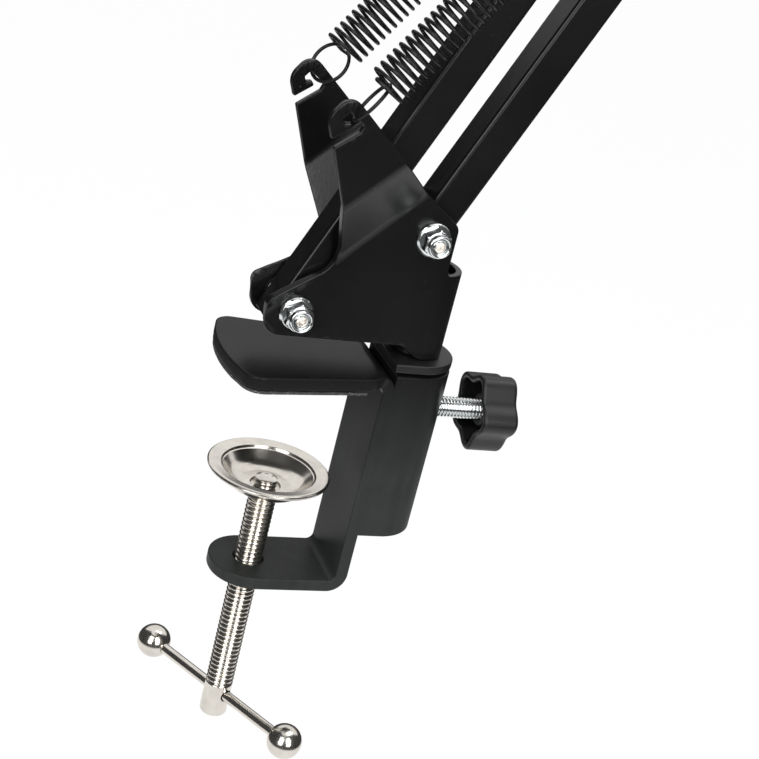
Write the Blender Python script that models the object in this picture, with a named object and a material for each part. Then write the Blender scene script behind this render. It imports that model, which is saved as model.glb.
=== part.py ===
"""Desk-clamp microphone stand: a spring-balanced folding arm on a C-clamp.

Metres, +Z up. The origin is the middle of the jaw pad's underside, which rests on the desk. +X runs
from the open jaws to the upright of the clamp, and the arm folds in the plane y = 0. Sheet parts are
cut as flat blanks and folded, as in a press shop; round parts are lofted from rings about an axis.
"""

import bmesh
import bpy
import numpy as np
from math import acos, atan2, ceil, cos, hypot, pi, radians, sin, sqrt, tan
from mathutils import Matrix, Vector

MM = 0.001
GAP = 0.3 * MM  # clearance between pieces that touch

# Clamp frame: one steel strip, folded twice
STRIP_WIDTH = 23.5 * MM
STRIP_T = 3.5 * MM
STRIP_BEND_R = 2.0 * MM  # inside
UPRIGHT_X = 22.2 * MM  # inner face of the upright, from the screw's axis
JAW_OPENING = 59.3 * MM  # from the pad's underside down to the lower jaw
LOWER_JAW_END_X = -11.2 * MM
PAD_T = 1.1 * MM
PAD_INSET = 0.2 * MM
JAW_TIP_X = -21.0 * MM
JAW_TIP_WIDTH = 38.8 * MM
JAW_ROOT_WIDTH = 30.2 * MM
JAW_SHOULDER = 4.0 * MM  # where the jaw narrows to the strip's width
JAW_TIP_ARC_R = 52.0 * MM
JAW_CORNER_R = 5.0 * MM

# Socket behind the upright, its bush and the post that turns in it
SOCKET_TOP_Z = 4.5 * MM
SOCKET_LENGTH = 49.0 * MM
POST_D = 10.0 * MM
POST_FROM_UPRIGHT = 6.5 * MM  # the post's axis behind the outer face of the upright
POST_DEPTH = 41.0 * MM  # below the socket's top
BUSH_NECK = 1.1 * MM  # gap between socket and flange
BUSH_NECK_D = 15.0 * MM
BUSH_NECK_STEP = 0.6 * MM  # of its bore, outside the flange's
FLANGE_OVERHANG = 1.6 * MM  # over the upright
BUSH_FLANGE_T = 2.4 * MM

# Clamp screw, its disc and its tommy bar
SCREW_D = 7.9 * MM
SCREW_LENGTH = 73.2 * MM  # below the disc
SCREW_NECK_D = 5.0 * MM
NUB_D = 6.6 * MM
NUB_T = 3.0 * MM
DISC_D = 34.0 * MM
DISC_T = 1.2 * MM
DISC_STEP_D = 26.2 * MM  # where the sloping rim meets the wall of the dish
DISC_STEP = 0.9 * MM  # below the rim
DISC_FLOOR_D = 21.0 * MM
DISC_DISH = 5.2 * MM
DISC_RECESS_D = 8.4 * MM
DISC_RECESS = 0.9 * MM
DISC_BELOW_PAD = 30.6 * MM
TOMMY_D = 3.1 * MM
TOMMY_SPAN = 55.9 * MM  # between the centres of its balls
TOMMY_BALL_D = 10.0 * MM
TOMMY_FROM_END = 7.1 * MM
TOMMY_SUNK = 3.0 * MM  # into each ball
TOMMY_TURN = radians(29.6)  # from -Y towards +X

# Lock bolt with its moulded knob
LOCK_D = 5.9 * MM
LOCK_BELOW_TOP = 13.2 * MM  # its axis below the socket's top
LOCK_TIP_GAP = 1.2 * MM
LOCK_LENGTH = 23.0 * MM
KNOB_R = 10.4 * MM
KNOB_LOBE = 1.15 * MM
KNOB_LOBES = 5
KNOB_LENGTH = 10.6 * MM
KNOB_WALL = 1.9 * MM
KNOB_FLOOR = 3.4 * MM
KNOB_HUB_R = 4.7 * MM
KNOB_HUB_LENGTH = 4.2 * MM

# Folded base bracket
SHEET_T = 1.8 * MM
PLATE_HALF = 8.0 * MM  # outer face of a side plate, from y = 0
EAR_FLARE = 9.9 * MM  # an ear's offset outside its side plate
BRACKET_LIFT = 3.6 * MM  # the side plates' bottom edge above the wrap's
WRAP_HEIGHT = 24.3 * MM
BEND_LOW = 22.7 * MM  # distances of the bend lines from the origin, along the flare
BEND_HIGH = 38.1 * MM
FLARE_ANGLE = radians(45)  # the bend lines' slope in side view
BEND_SOFT = 1.4 * MM

# Arm
ARM_LENGTH = 330.0 * MM
BAR_SIZE = 10.0 * MM
BAR_WALL = 1.0 * MM
BAR_CORNER_R = 1.1 * MM
BAR_END = 6.0 * MM  # past its pivots
LOWER_LEAN = radians(24.0)  # from the vertical
UPPER_LEAN = radians(-62.0)
FRONT_PIVOT = Vector((-5.4 * MM, 0, 18.4 * MM))
REAR_FROM_FRONT = Vector((32.2 * MM, 0, 24.0 * MM))
ELBOW_PIVOT = Vector((10.0 * MM, 0, 34.0 * MM))  # lower pivot of the upper arm, from the front bar's end
UPPER_PAIR = Vector((6.0 * MM, 0, 20.0 * MM))  # between the two pivots of the upper arm
PLATE_R = 7.0 * MM  # round ends of the elbow's and head's plates

# Pivot fasteners
BOLT_D = 4.0 * MM
BOLT_HOLE_PLAY = 0.6 * MM
NUT_FLATS = 7.0 * MM
NUT_FLANGE_D = 9.4 * MM
NUT_COLLAR_D = 6.4 * MM
NUT_HEIGHT = 5.0 * MM
PIVOT_BUSH_WALL = 0.6 * MM
PIVOT_BUSH_FLANGE_D = 8.6 * MM

# Springs and the pins that hold them
WIRE_D = 0.8 * MM
COIL_D = 11.0 * MM
LOOP_STEP = 1.1 * MM  # from a loop to the first coil
HOOK_LEAN = radians(35)  # of a lower spring, from the vertical
HOOK_ROOM = 0.3 * MM  # over the wire in its ear
LOWER_CURLS = 16
UPPER_CURLS = 8
CURL_POINTS = 8
HOOK_SEAT = Vector((-5.95 * MM, 0, 72.75 * MM))  # where a lower spring hangs in its ear
LOWER_PIN_UP = 232.0 * MM  # along the rear bar, from its lower pivot
UPPER_PIN_OUT = 140.0 * MM  # along the lower bar of the upper arm
ELBOW_PIN = Vector((4.0 * MM, 0, 16.0 * MM))  # from the upper pivot of the upper arm
PIN_D = 4.0 * MM
PIN_HEAD_D = 7.0 * MM
PIN_HEAD_T = 1.2 * MM

# Microphone head
TILT_PIVOT = Vector((-24.0 * MM, 0, 6.0 * MM))  # from the lower pivot at the head
TILT_BOLT_D = 5.0 * MM
TILT_BLOCK_R = 9.0 * MM
TILT_BLOCK_TOP = 14.0 * MM
STUD_D = 9.4 * MM
STUD_LENGTH = 14.0 * MM
ADAPTER_D = 15.8 * MM
ADAPTER_LENGTH = 12.0 * MM
ADAPTER_FLANGE_D = 19.0 * MM
ADAPTER_FLANGE_T = 2.4 * MM
HEAD_KNOB_SCALE = 0.86

# Places that follow from the sizes above
JAW_MID_Z = PAD_T + STRIP_T / 2
LOWER_MID_Z = -JAW_OPENING - STRIP_T / 2
UPRIGHT_OUT_X = UPRIGHT_X + STRIP_T
POST_X = UPRIGHT_OUT_X + POST_FROM_UPRIGHT
LOCK_Z = SOCKET_TOP_Z - LOCK_BELOW_TOP
FLANGE_Z = SOCKET_TOP_Z + BUSH_NECK
WRAP_BOTTOM_Z = FLANGE_Z + BUSH_FLANGE_T + GAP
REAR_PIVOT = FRONT_PIVOT + REAR_FROM_FRONT
LOWER_DIR = Vector((sin(LOWER_LEAN), 0, cos(LOWER_LEAN)))
UPPER_DIR = Vector((sin(UPPER_LEAN), 0, cos(UPPER_LEAN)))
ELBOW_FRONT = FRONT_PIVOT + ARM_LENGTH * LOWER_DIR
ELBOW_REAR = ELBOW_FRONT + REAR_FROM_FRONT
ELBOW_LOW = ELBOW_FRONT + ELBOW_PIVOT
ELBOW_HIGH = ELBOW_LOW + UPPER_PAIR
HEAD_LOW = ELBOW_LOW + ARM_LENGTH * UPPER_DIR
HEAD_HIGH = HEAD_LOW + UPPER_PAIR
TILT = HEAD_LOW + TILT_PIVOT
PLATE_IN = PLATE_HALF - SHEET_T  # inner face of the plates
SPRING_Y = PLATE_HALF + EAR_FLARE - SHEET_T / 2
HOLE_R = (BOLT_D + BOLT_HOLE_PLAY) / 2
PIVOT_BUSH_R = HOLE_R + PIVOT_BUSH_WALL
COIL_R = (COIL_D - WIRE_D) / 2

TO_MINUS_Y = Matrix.Rotation(radians(90), 4, "X")  # local Z onto -Y
TO_PLUS_X = Matrix.Rotation(radians(90), 4, "Y")  # local Z onto +X


def material(name, colour, roughness, metallic=0.0):
    """A Principled material with one colour."""
    made = bpy.data.materials.new(name)
    made.use_nodes = True
    shader = made.node_tree.nodes["Principled BSDF"]
    shader.inputs["Base Color"].default_value = (*colour, 1)
    shader.inputs["Roughness"].default_value = roughness
    shader.inputs["Metallic"].default_value = metallic
    return made


def make(name, bm, finish, parent=None, smooth=40):
    """Object from a bmesh, under its joint's empty, with its faces pointing out."""
    bmesh.ops.recalc_face_normals(bm, faces=bm.faces)
    mesh = bpy.data.meshes.new(name)
    bm.to_mesh(mesh)
    bm.free()
    mesh.shade_smooth()
    mesh.set_sharp_from_angle(angle=radians(smooth))
    obj = bpy.data.objects.new(name, mesh)
    obj.data.materials.append(finish)
    bpy.context.collection.objects.link(obj)
    attach(obj, parent)
    return obj


def attach(obj, parent):
    """Parents the object with its place in the world kept, and its origin on the joint's axis."""
    if parent is None:
        return
    bpy.context.view_layer.update()
    shift = parent.matrix_world.translation.copy()
    if obj.type == "MESH":
        obj.data.transform(Matrix.Translation(-shift))
        obj.location = shift
    obj.parent = parent
    obj.matrix_parent_inverse = Matrix.Translation(-shift)


def pivot(name, place, parent=None):
    """An empty on a joint's axis."""
    empty = bpy.data.objects.new(name, None)
    empty.empty_display_size = 0.01
    empty.location = place
    bpy.context.collection.objects.link(empty)
    if parent is not None:
        bpy.context.view_layer.update()
        empty.parent = parent
        empty.matrix_parent_inverse = parent.matrix_world.inverted()
    bpy.context.view_layer.update()
    return empty


def cutter(name, bm):
    """A hidden guide solid for a Boolean."""
    bmesh.ops.recalc_face_normals(bm, faces=bm.faces)
    mesh = bpy.data.meshes.new(name)
    bm.to_mesh(mesh)
    bm.free()
    obj = bpy.data.objects.new(name, mesh)
    obj.hide_render = True
    obj.display_type = "WIRE"
    bpy.context.collection.objects.link(obj)
    return obj


def cut(obj, tool):
    """Takes the tool's shape out of the object."""
    boolean = obj.modifiers.new(tool.name, "BOOLEAN")
    boolean.operation = "DIFFERENCE"
    boolean.solver = "EXACT"
    boolean.object = tool


def rounded(corners, step=radians(18)):
    """Closed outline from corners (x, z, radius), each replaced by its fillet arc."""
    points = []
    count = len(corners)
    for i, (x, z, radius) in enumerate(corners):
        here = Vector((x, z))
        back = (Vector(corners[i - 1][:2]) - here).normalized()
        ahead = (Vector(corners[(i + 1) % count][:2]) - here).normalized()
        if radius == 0:
            points.append(here)
            continue
        half = acos(max(-1.0, min(1.0, back.dot(ahead)))) / 2
        centre = here + (back + ahead).normalized() * radius / sin(half)
        first = here + back * radius / tan(half) - centre
        turn = pi - 2 * half
        side = 1 if back.x * ahead.y - back.y * ahead.x < 0 else -1
        pieces = max(1, ceil(turn / step))
        for k in range(pieces + 1):
            angle = side * turn * k / pieces
            spin = Matrix.Rotation(angle, 2)
            points.append(centre + spin @ first)
    return points


def hull(points):
    """Corners of the convex hull of points in a plane, anticlockwise."""
    ends = []
    for line in (sorted(points, key=tuple), sorted(points, key=tuple, reverse=True)):
        chain = []
        for p in line:
            while len(chain) > 1 and (chain[-1] - chain[-2]).cross(p - chain[-2]) <= 0:
                chain.pop()
            chain.append(p)
        ends += chain[:-1]
    return ends


def belt(centres, radius, step=radians(22.5)):
    """Outline of a belt round equal circles."""
    corners = hull(centres)
    points = []
    for i, centre in enumerate(corners):
        back = centre - corners[i - 1]
        ahead = corners[(i + 1) % len(corners)] - centre
        start = atan2(back.y, back.x) - pi / 2
        turn = (atan2(ahead.y, ahead.x) - pi / 2 - start) % (2 * pi)
        pieces = max(1, ceil(turn / step))
        for k in range(pieces + 1):
            angle = start + turn * k / pieces
            points.append(centre + radius * Vector((cos(angle), sin(angle))))
    return points


def circle(centre, radius, count=12):
    """Points of a circle in the plane of an outline."""
    return [
        Vector((centre[0] + radius * cos(2 * pi * k / count), centre[1] + radius * sin(2 * pi * k / count)))
        for k in range(count)
    ]


def blank(outline, holes=()):
    """Flat sheet with holes, as a bmesh in its own x, z plane at y = 0."""
    bm = bmesh.new()
    for loop in (outline, *holes):
        corners = [bm.verts.new((p[0], 0, p[1])) for p in loop]
        for a, b in zip(corners, corners[1:] + corners[:1]):
            bm.edges.new((a, b))
    bmesh.ops.triangle_fill(bm, use_beauty=True, use_dissolve=False, edges=bm.edges[:])
    return bm


def crease(bm, place, normal):
    """Edges across a blank along one bend line."""
    everything = bm.verts[:] + bm.edges[:] + bm.faces[:]
    bmesh.ops.bisect_plane(bm, geom=everything, dist=1e-7, plane_co=place, plane_no=normal)


def merge_flats(bm):
    """Joins the triangles of each flat stretch of a sheet into few faces."""
    flat = radians(0.1)
    bmesh.ops.dissolve_limit(bm, angle_limit=flat, verts=bm.verts, edges=bm.edges, use_dissolve_boundaries=False)


def plate(outline, holes, y_low, y_high):
    """Flat plate between two values of y."""
    bm = blank(outline, holes)
    bmesh.ops.translate(bm, verts=bm.verts, vec=(0, y_low, 0))
    grown = bmesh.ops.extrude_face_region(bm, geom=bm.faces[:])["geom"]
    raised = [item for item in grown if isinstance(item, bmesh.types.BMVert)]
    bmesh.ops.translate(bm, verts=raised, vec=(0, y_high - y_low, 0))
    return bm


def solidify(obj, thickness, side):
    """Gives a folded sheet its thickness."""
    wall = obj.modifiers.new("thickness", "SOLIDIFY")
    wall.thickness = thickness
    wall.offset = side
    wall.use_even_offset = True


def loft(bm, place, rings, steps=24, bored=False):
    """Adds a solid made of rings about the local Z axis of the matrix place.

    A ring is (radius, height), and its radius is a number or a function of the angle. Radius 0 is a
    pole. A bored solid joins its last ring to its first.
    """
    loops = []
    for radius, height in rings:
        if radius == 0:
            loops.append([bm.verts.new(place @ Vector((0, 0, height)))])
            continue
        loop = []
        for k in range(steps):
            angle = 2 * pi * k / steps
            r = radius(angle) if callable(radius) else radius
            loop.append(bm.verts.new(place @ Vector((r * cos(angle), r * sin(angle), height))))
        loops.append(loop)
    pairs = list(zip(loops, loops[1:]))
    if bored:
        pairs.append((loops[-1], loops[0]))
    for low, high in pairs:
        for k in range(steps):
            n = (k + 1) % steps
            corners = [low[k % len(low)], low[n % len(low)], high[n % len(high)], high[k % len(high)]]
            bm.faces.new(list(dict.fromkeys(corners)))
    return bm


def rod(radius, start, end, steps=20, chamfer=0.0):
    """Rings of a plain round rod between two heights, with its end edges chamfered."""
    return [
        (0, start),
        (radius - chamfer, start),
        *([(radius, start + chamfer), (radius, end - chamfer)] if chamfer else []),
        (radius - chamfer, end),
        (0, end),
    ]


def cylinder(place, radius, start, end, steps=20, chamfer=0.0):
    """A round rod in a bmesh of its own."""
    return loft(bmesh.new(), place, rod(radius, start, end, steps, chamfer), steps)


def hexagon(across_flats):
    """Radius of a hexagon at an angle."""
    return lambda angle: across_flats / 2 / cos((angle + pi / 6) % (pi / 3) - pi / 6)


def lobed(radius, lobe, lobes, phase=0.0):
    """Radius of a lobed outline at an angle."""
    return lambda angle: radius + lobe * cos(lobes * (angle - phase))


def strip_outline():
    """Developed outline of the clamp's strip: distance along its middle line, and width."""
    tip = JAW_TIP_WIDTH / 2
    sagitta = lambda y: JAW_TIP_ARC_R - sqrt(JAW_TIP_ARC_R**2 - y**2)
    arc = [(JAW_TIP_X + sagitta(y), y, 0) for y in np.linspace(0.55 * tip, -0.55 * tip, 5)]
    shoulder = UPRIGHT_X - STRIP_BEND_R - JAW_SHOULDER / 2
    half = STRIP_WIDTH / 2
    end = strip_length()
    top = [
        (JAW_TIP_X + sagitta(tip), tip + 0.4 * MM, JAW_CORNER_R),
        *arc,
        (JAW_TIP_X + sagitta(tip), -tip - 0.4 * MM, JAW_CORNER_R),
        (shoulder, -JAW_ROOT_WIDTH / 2, 3 * MM),
        (shoulder + JAW_SHOULDER, -half, 3 * MM),
        (end, -half, half * 0.97),
        (end, half, half * 0.97),
        (shoulder + JAW_SHOULDER, half, 3 * MM),
        (shoulder, JAW_ROOT_WIDTH / 2, 3 * MM),
    ]
    return rounded(top)


def strip_stations():
    """Where the developed strip starts and ends each of its two bends."""
    arc = (STRIP_BEND_R + STRIP_T / 2) * pi / 2
    first = UPRIGHT_X - STRIP_BEND_R
    straight = JAW_MID_Z - LOWER_MID_Z - 2 * (STRIP_BEND_R + STRIP_T / 2)
    second = first + arc + straight
    return first, first + arc, second, second + arc


def strip_length():
    """Far end of the developed strip."""
    return strip_stations()[3] + UPRIGHT_X - STRIP_BEND_R - LOWER_JAW_END_X


def fold_strip(s, y):
    """Place in the folded frame of a point of the developed strip."""
    first, down, second, back = strip_stations()
    r = STRIP_BEND_R + STRIP_T / 2
    bend_x = UPRIGHT_X - STRIP_BEND_R
    if s <= first:
        return Vector((s, y, JAW_MID_Z))
    if s < down:
        a = (s - first) / r
        return Vector((bend_x + r * sin(a), y, JAW_MID_Z - r + r * cos(a)))
    if s <= second:
        return Vector((bend_x + r, y, JAW_MID_Z - r - (s - down)))
    if s < back:
        a = (s - second) / r
        return Vector((bend_x + r * cos(a), y, LOWER_MID_Z + r - r * sin(a)))
    return Vector((bend_x - (s - back), y, LOWER_MID_Z))


def screw_hole_station():
    """Where the clamp screw's axis crosses the developed strip."""
    return strip_stations()[3] + UPRIGHT_X - STRIP_BEND_R


def clamp_frame(finish):
    """C-shaped frame: a blank folded twice."""
    hole = circle((screw_hole_station(), 0), SCREW_D / 2 + GAP, 20)
    bm = blank(strip_outline(), [hole])
    first, down, second, back = strip_stations()
    for start, end in ((first, down), (second, back)):
        for s in np.linspace(start, end, 6):
            crease(bm, (s, 0, 0), (1, 0, 0))
    for vert in bm.verts:
        vert.co = fold_strip(vert.co.x, vert.co.z)
    merge_flats(bm)
    frame = make("clamp_frame", bm, finish)
    solidify(frame, STRIP_T, 0)


def jaw_pad(finish):
    """Grip pad under the upper jaw, to the jaw's own outline."""
    root = UPRIGHT_X - STRIP_BEND_R - JAW_SHOULDER
    scale = 1 - 2 * PAD_INSET / JAW_TIP_WIDTH
    bm = blank(strip_outline())
    everything = bm.verts[:] + bm.edges[:] + bm.faces[:]
    bmesh.ops.bisect_plane(bm, geom=everything, plane_co=(root, 0, 0), plane_no=(1, 0, 0), clear_outer=True)
    for vert in bm.verts:
        vert.co = (vert.co.x + PAD_INSET, vert.co.z * scale, 0)
    grown = bmesh.ops.extrude_face_region(bm, geom=bm.faces[:])["geom"]
    raised = [item for item in grown if isinstance(item, bmesh.types.BMVert)]
    bmesh.ops.translate(bm, verts=raised, vec=(0, 0, PAD_T - GAP))
    make("jaw_pad", bm, finish)


def d_outline(front_x, radius, step=radians(15)):
    """Plan outline of the socket: flat sides and front, round back about the post."""
    count = round(pi / step)
    arc = [Vector((POST_X + radius * sin(a), -radius * cos(a))) for a in np.linspace(0, pi, count + 1)]
    return [Vector((front_x, -radius)), *arc, Vector((front_x, radius))]


def upright_prism(outline, holes, z_low, z_high):
    """Prism with a plan outline, between two heights."""
    bm = blank(outline, holes)
    for vert in bm.verts:
        vert.co = (vert.co.x, vert.co.z, z_low)
    grown = bmesh.ops.extrude_face_region(bm, geom=bm.faces[:])["geom"]
    raised = [item for item in grown if isinstance(item, bmesh.types.BMVert)]
    bmesh.ops.translate(bm, verts=raised, vec=(0, 0, z_high - z_low))
    return bm


def socket(finish):
    """Socket block on the back of the upright, with the threaded hole for the lock bolt."""
    bore = circle((POST_X, 0), POST_D / 2 + GAP, 20)
    outline = d_outline(UPRIGHT_OUT_X + GAP, STRIP_WIDTH / 2)
    bm = upright_prism(outline, [bore], SOCKET_TOP_Z - SOCKET_LENGTH, SOCKET_TOP_Z)
    block = make("post_socket", bm, finish)
    place = Matrix.Translation((POST_X, 0, LOCK_Z)) @ TO_PLUS_X
    cut(block, cutter("lock_hole", cylinder(place, LOCK_D / 2 + GAP, 0, STRIP_WIDTH)))


def bush(finish):
    """Bush on the socket: a D-shaped flange on a short neck, with the post's hole."""
    bore = POST_D / 2 + GAP
    outline = d_outline(UPRIGHT_OUT_X - FLANGE_OVERHANG, STRIP_WIDTH / 2)
    hole = circle((POST_X, 0), bore, 20)
    bm = upright_prism(outline, [hole], FLANGE_Z, FLANGE_Z + BUSH_FLANGE_T)
    flange = make("socket_bush", bm, finish)
    inner = bore + BUSH_NECK_STEP
    rings = [
        (inner, SOCKET_TOP_Z + GAP),
        (BUSH_NECK_D / 2, SOCKET_TOP_Z + GAP),
        (BUSH_NECK_D / 2, FLANGE_Z + BUSH_FLANGE_T / 2),
        (inner, FLANGE_Z + BUSH_FLANGE_T / 2),
    ]
    place = Matrix.Translation((POST_X, 0, 0))
    neck = cutter("bush_neck", loft(bmesh.new(), place, rings, 20, bored=True))
    union = flange.modifiers.new("neck", "BOOLEAN")
    union.operation = "UNION"
    union.solver = "EXACT"
    union.object = neck


def disc(finish, parent):
    """Pressed disc: a sloping rim, a step, a steep wall and a dished floor round the screw's neck."""
    rim = DISC_D / 2
    step = DISC_STEP_D / 2
    floor = DISC_FLOOR_D / 2
    recess = DISC_RECESS_D / 2
    hole = SCREW_NECK_D / 2 + GAP
    top = -DISC_BELOW_PAD
    dish = top - DISC_DISH
    over = [
        (rim, top - 0.3 * DISC_T),
        (rim - 0.3 * DISC_T, top),
        (rim - DISC_T, top),
        (step, top - DISC_STEP),
        (floor, dish + 0.25 * DISC_DISH),
        (0.75 * floor, dish),
        (recess, dish),
        (recess, dish - DISC_RECESS),
        (hole, dish - DISC_RECESS),
    ]
    under = [
        (hole, dish - DISC_RECESS - DISC_T),
        (recess + DISC_T / 2, dish - DISC_RECESS - DISC_T),
        (0.75 * floor, dish - DISC_T),
        (floor + DISC_T, dish + 0.25 * DISC_DISH - DISC_T / 2),
        (step + DISC_T / 2, top - DISC_STEP - DISC_T),
        (rim - 0.3 * DISC_T, top - DISC_T),
        (rim, top - 0.7 * DISC_T),
    ]
    make("pressure_disc", loft(bmesh.new(), Matrix.Identity(4), over + under, 24, bored=True), finish, parent)
    return dish - DISC_RECESS


def clamp_screw(finish, parent, seat):
    """Clamp screw: a nub in the disc's dish, a neck through the disc, the shank and a cross hole."""
    under = seat - DISC_T - GAP
    end = under - SCREW_LENGTH
    r = SCREW_D / 2
    neck = SCREW_NECK_D / 2
    over = seat + GAP
    chamfer = 0.8 * MM
    rings = [
        (0, end),
        (r - chamfer, end),
        (r, end + chamfer),
        (r, under - chamfer),
        (r - chamfer, under),
        (neck, under),
        (neck, over),
        (NUB_D / 2, over),
        (NUB_D / 2, over + 0.8 * NUB_T),
        (0.4 * NUB_D, over + NUB_T),
        (0, over + NUB_T),
    ]
    screw = make("clamp_screw", loft(bmesh.new(), Matrix.Identity(4), rings, 20), finish, parent)
    place = tommy_place(end)
    cut(screw, cutter("cross_hole", cylinder(place, TOMMY_D / 2 + GAP, -SCREW_D, SCREW_D, 16)))
    return end


def tommy_place(end):
    """Matrix at the tommy bar's middle, with local Z along the bar towards the viewer's side."""
    turn = Matrix.Rotation(TOMMY_TURN, 4, "Z")
    return Matrix.Translation((0, 0, end + TOMMY_FROM_END)) @ turn @ TO_MINUS_Y


def tommy_bar(finish, parent, end):
    """Sliding bar with a ball at each end."""
    place = tommy_place(end)
    half = TOMMY_SPAN / 2
    ball = TOMMY_BALL_D / 2
    tip = half - ball + TOMMY_SUNK
    make("tommy_bar", cylinder(place, TOMMY_D / 2, -tip, tip, 16, 0.3 * MM), finish, parent)
    bore = TOMMY_D / 2 + GAP
    face = sqrt(ball**2 - bore**2)
    for name, side in (("tommy_ball_near", 1), ("tommy_ball_far", -1)):
        angles = np.linspace(-acos(bore / ball), pi / 2, 9)
        skin = [(ball * cos(a), ball * sin(a)) for a in angles[:-1]]
        blind = -ball + TOMMY_SUNK + GAP
        rings = [(0, blind), (bore, blind), (bore, -face), *skin[1:], (0, ball)]
        flip = Matrix.Identity(4) if side > 0 else Matrix.Rotation(pi, 4, "X")
        spot = place @ Matrix.Translation((0, 0, side * half)) @ flip
        make(name, loft(bmesh.new(), spot, rings, 18), finish, parent)


def knob_rings(scale, bore, hub):
    """Rings of a hollow lobed knob, from the bottom of its blind bore out to its closed back."""
    outer = lambda d: lobed(scale * KNOB_R - d, scale * KNOB_LOBE, KNOB_LOBES)
    length = scale * KNOB_LENGTH
    floor = length - scale * KNOB_FLOOR
    wall = scale * KNOB_WALL
    soft = 0.6 * MM
    hub_face = floor - hub
    return [
        (0, floor + GAP),
        (bore, floor + GAP),
        (bore, hub_face),
        (scale * KNOB_HUB_R, hub_face),
        (scale * KNOB_HUB_R, floor),
        (outer(wall), floor),
        (outer(wall), soft),
        (outer(wall - soft), 0),
        (outer(soft), 0),
        (outer(0), soft),
        (outer(0), length - 2 * soft),
        (outer(soft), length - soft / 2),
        (outer(3 * soft), length),
        (0, length),
    ]


def lock(zinc, plastic, turn):
    """Lock bolt through the socket's wall, with its knob."""
    tip = POST_X + POST_D / 2 + LOCK_TIP_GAP
    place = Matrix.Translation((tip, 0, LOCK_Z)) @ TO_PLUS_X
    make("lock_bolt", cylinder(place, LOCK_D / 2, 0, LOCK_LENGTH, 20, 0.5 * MM), zinc, turn)
    floor = KNOB_LENGTH - KNOB_FLOOR
    start = Matrix.Translation((0, 0, LOCK_LENGTH - floor))
    rings = knob_rings(1.0, LOCK_D / 2 + GAP, KNOB_HUB_LENGTH)
    make("lock_knob", loft(bmesh.new(), place @ start, rings, 6 * KNOB_LOBES), plastic, turn)


def flare(x, z):
    """Outward offset of the bracket's sheet: none below its lower bend line, full past the upper."""
    q = (z - x) * cos(FLARE_ANGLE)
    slope = EAR_FLARE / (BEND_HIGH - BEND_LOW)

    def ramp(t):
        if t <= -BEND_SOFT:
            return 0.0
        if t >= BEND_SOFT:
            return t
        return (t + BEND_SOFT) ** 2 / (4 * BEND_SOFT)

    return slope * (ramp(q - BEND_LOW) - ramp(q - BEND_HIGH))


def by_hook(side, up, radius):
    """Corner of the ear's outline, measured from the hook's seat across and along the spring."""
    x = HOOK_SEAT.x + side * cos(HOOK_LEAN) + up * sin(HOOK_LEAN)
    return x, HOOK_SEAT.z - side * sin(HOOK_LEAN) + up * cos(HOOK_LEAN), radius


def bracket_outline(seam):
    """Outline of one side of the bracket in side view, unrolled past the post as far as the seam."""
    front_x, front_z = FRONT_PIVOT.x, FRONT_PIVOT.z
    rear_x, rear_z = REAR_PIVOT.x, REAR_PIVOT.z
    bottom = WRAP_BOTTOM_Z + BRACKET_LIFT
    top = WRAP_BOTTOM_Z + WRAP_HEIGHT
    over_wire = WIRE_D / 2 + GAP + HOOK_ROOM
    mm = MM
    return rounded(
        [
            (front_x - 8.0 * mm, bottom, 6.0 * mm),
            (POST_X - 6.5 * mm, bottom, 4.0 * mm),
            (POST_X - 1.5 * mm, WRAP_BOTTOM_Z, 4.0 * mm),
            (seam, WRAP_BOTTOM_Z, 0),
            (seam, top, 0),
            (rear_x + 6.6 * mm, top, 1.2 * mm),
            (rear_x + 6.6 * mm, rear_z + 3.8 * mm, 3.0 * mm),
            (rear_x - 5.0 * mm, rear_z + 11.8 * mm, 20.0 * mm),
            by_hook(-5.6 * mm, 4.0 * mm, 5.0 * mm),
            by_hook(-5.6 * mm, -5.6 * mm, 4.2 * mm),
            by_hook(-0.8 * mm, -6.6 * mm, 0.5 * mm),
            by_hook(1.3 * mm, -1.7 * mm, 0.4 * mm),
            by_hook(-1.5 * mm, -1.2 * mm, 0.4 * mm),
            by_hook(-2.4 * mm, over_wire, 0.5 * mm),
            by_hook(3.0 * mm, over_wire, 0.5 * mm),
            by_hook(3.3 * mm, -0.3 * mm, 0.5 * mm),
            by_hook(1.2 * mm, -7.6 * mm, 0.6 * mm),
            (front_x + 8.4 * mm, front_z + 14.8 * mm, 7.0 * mm),
            (front_x - 8.4 * mm, front_z + 3.2 * mm, 3.0 * mm),
        ],
        radians(30),
    )


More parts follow.
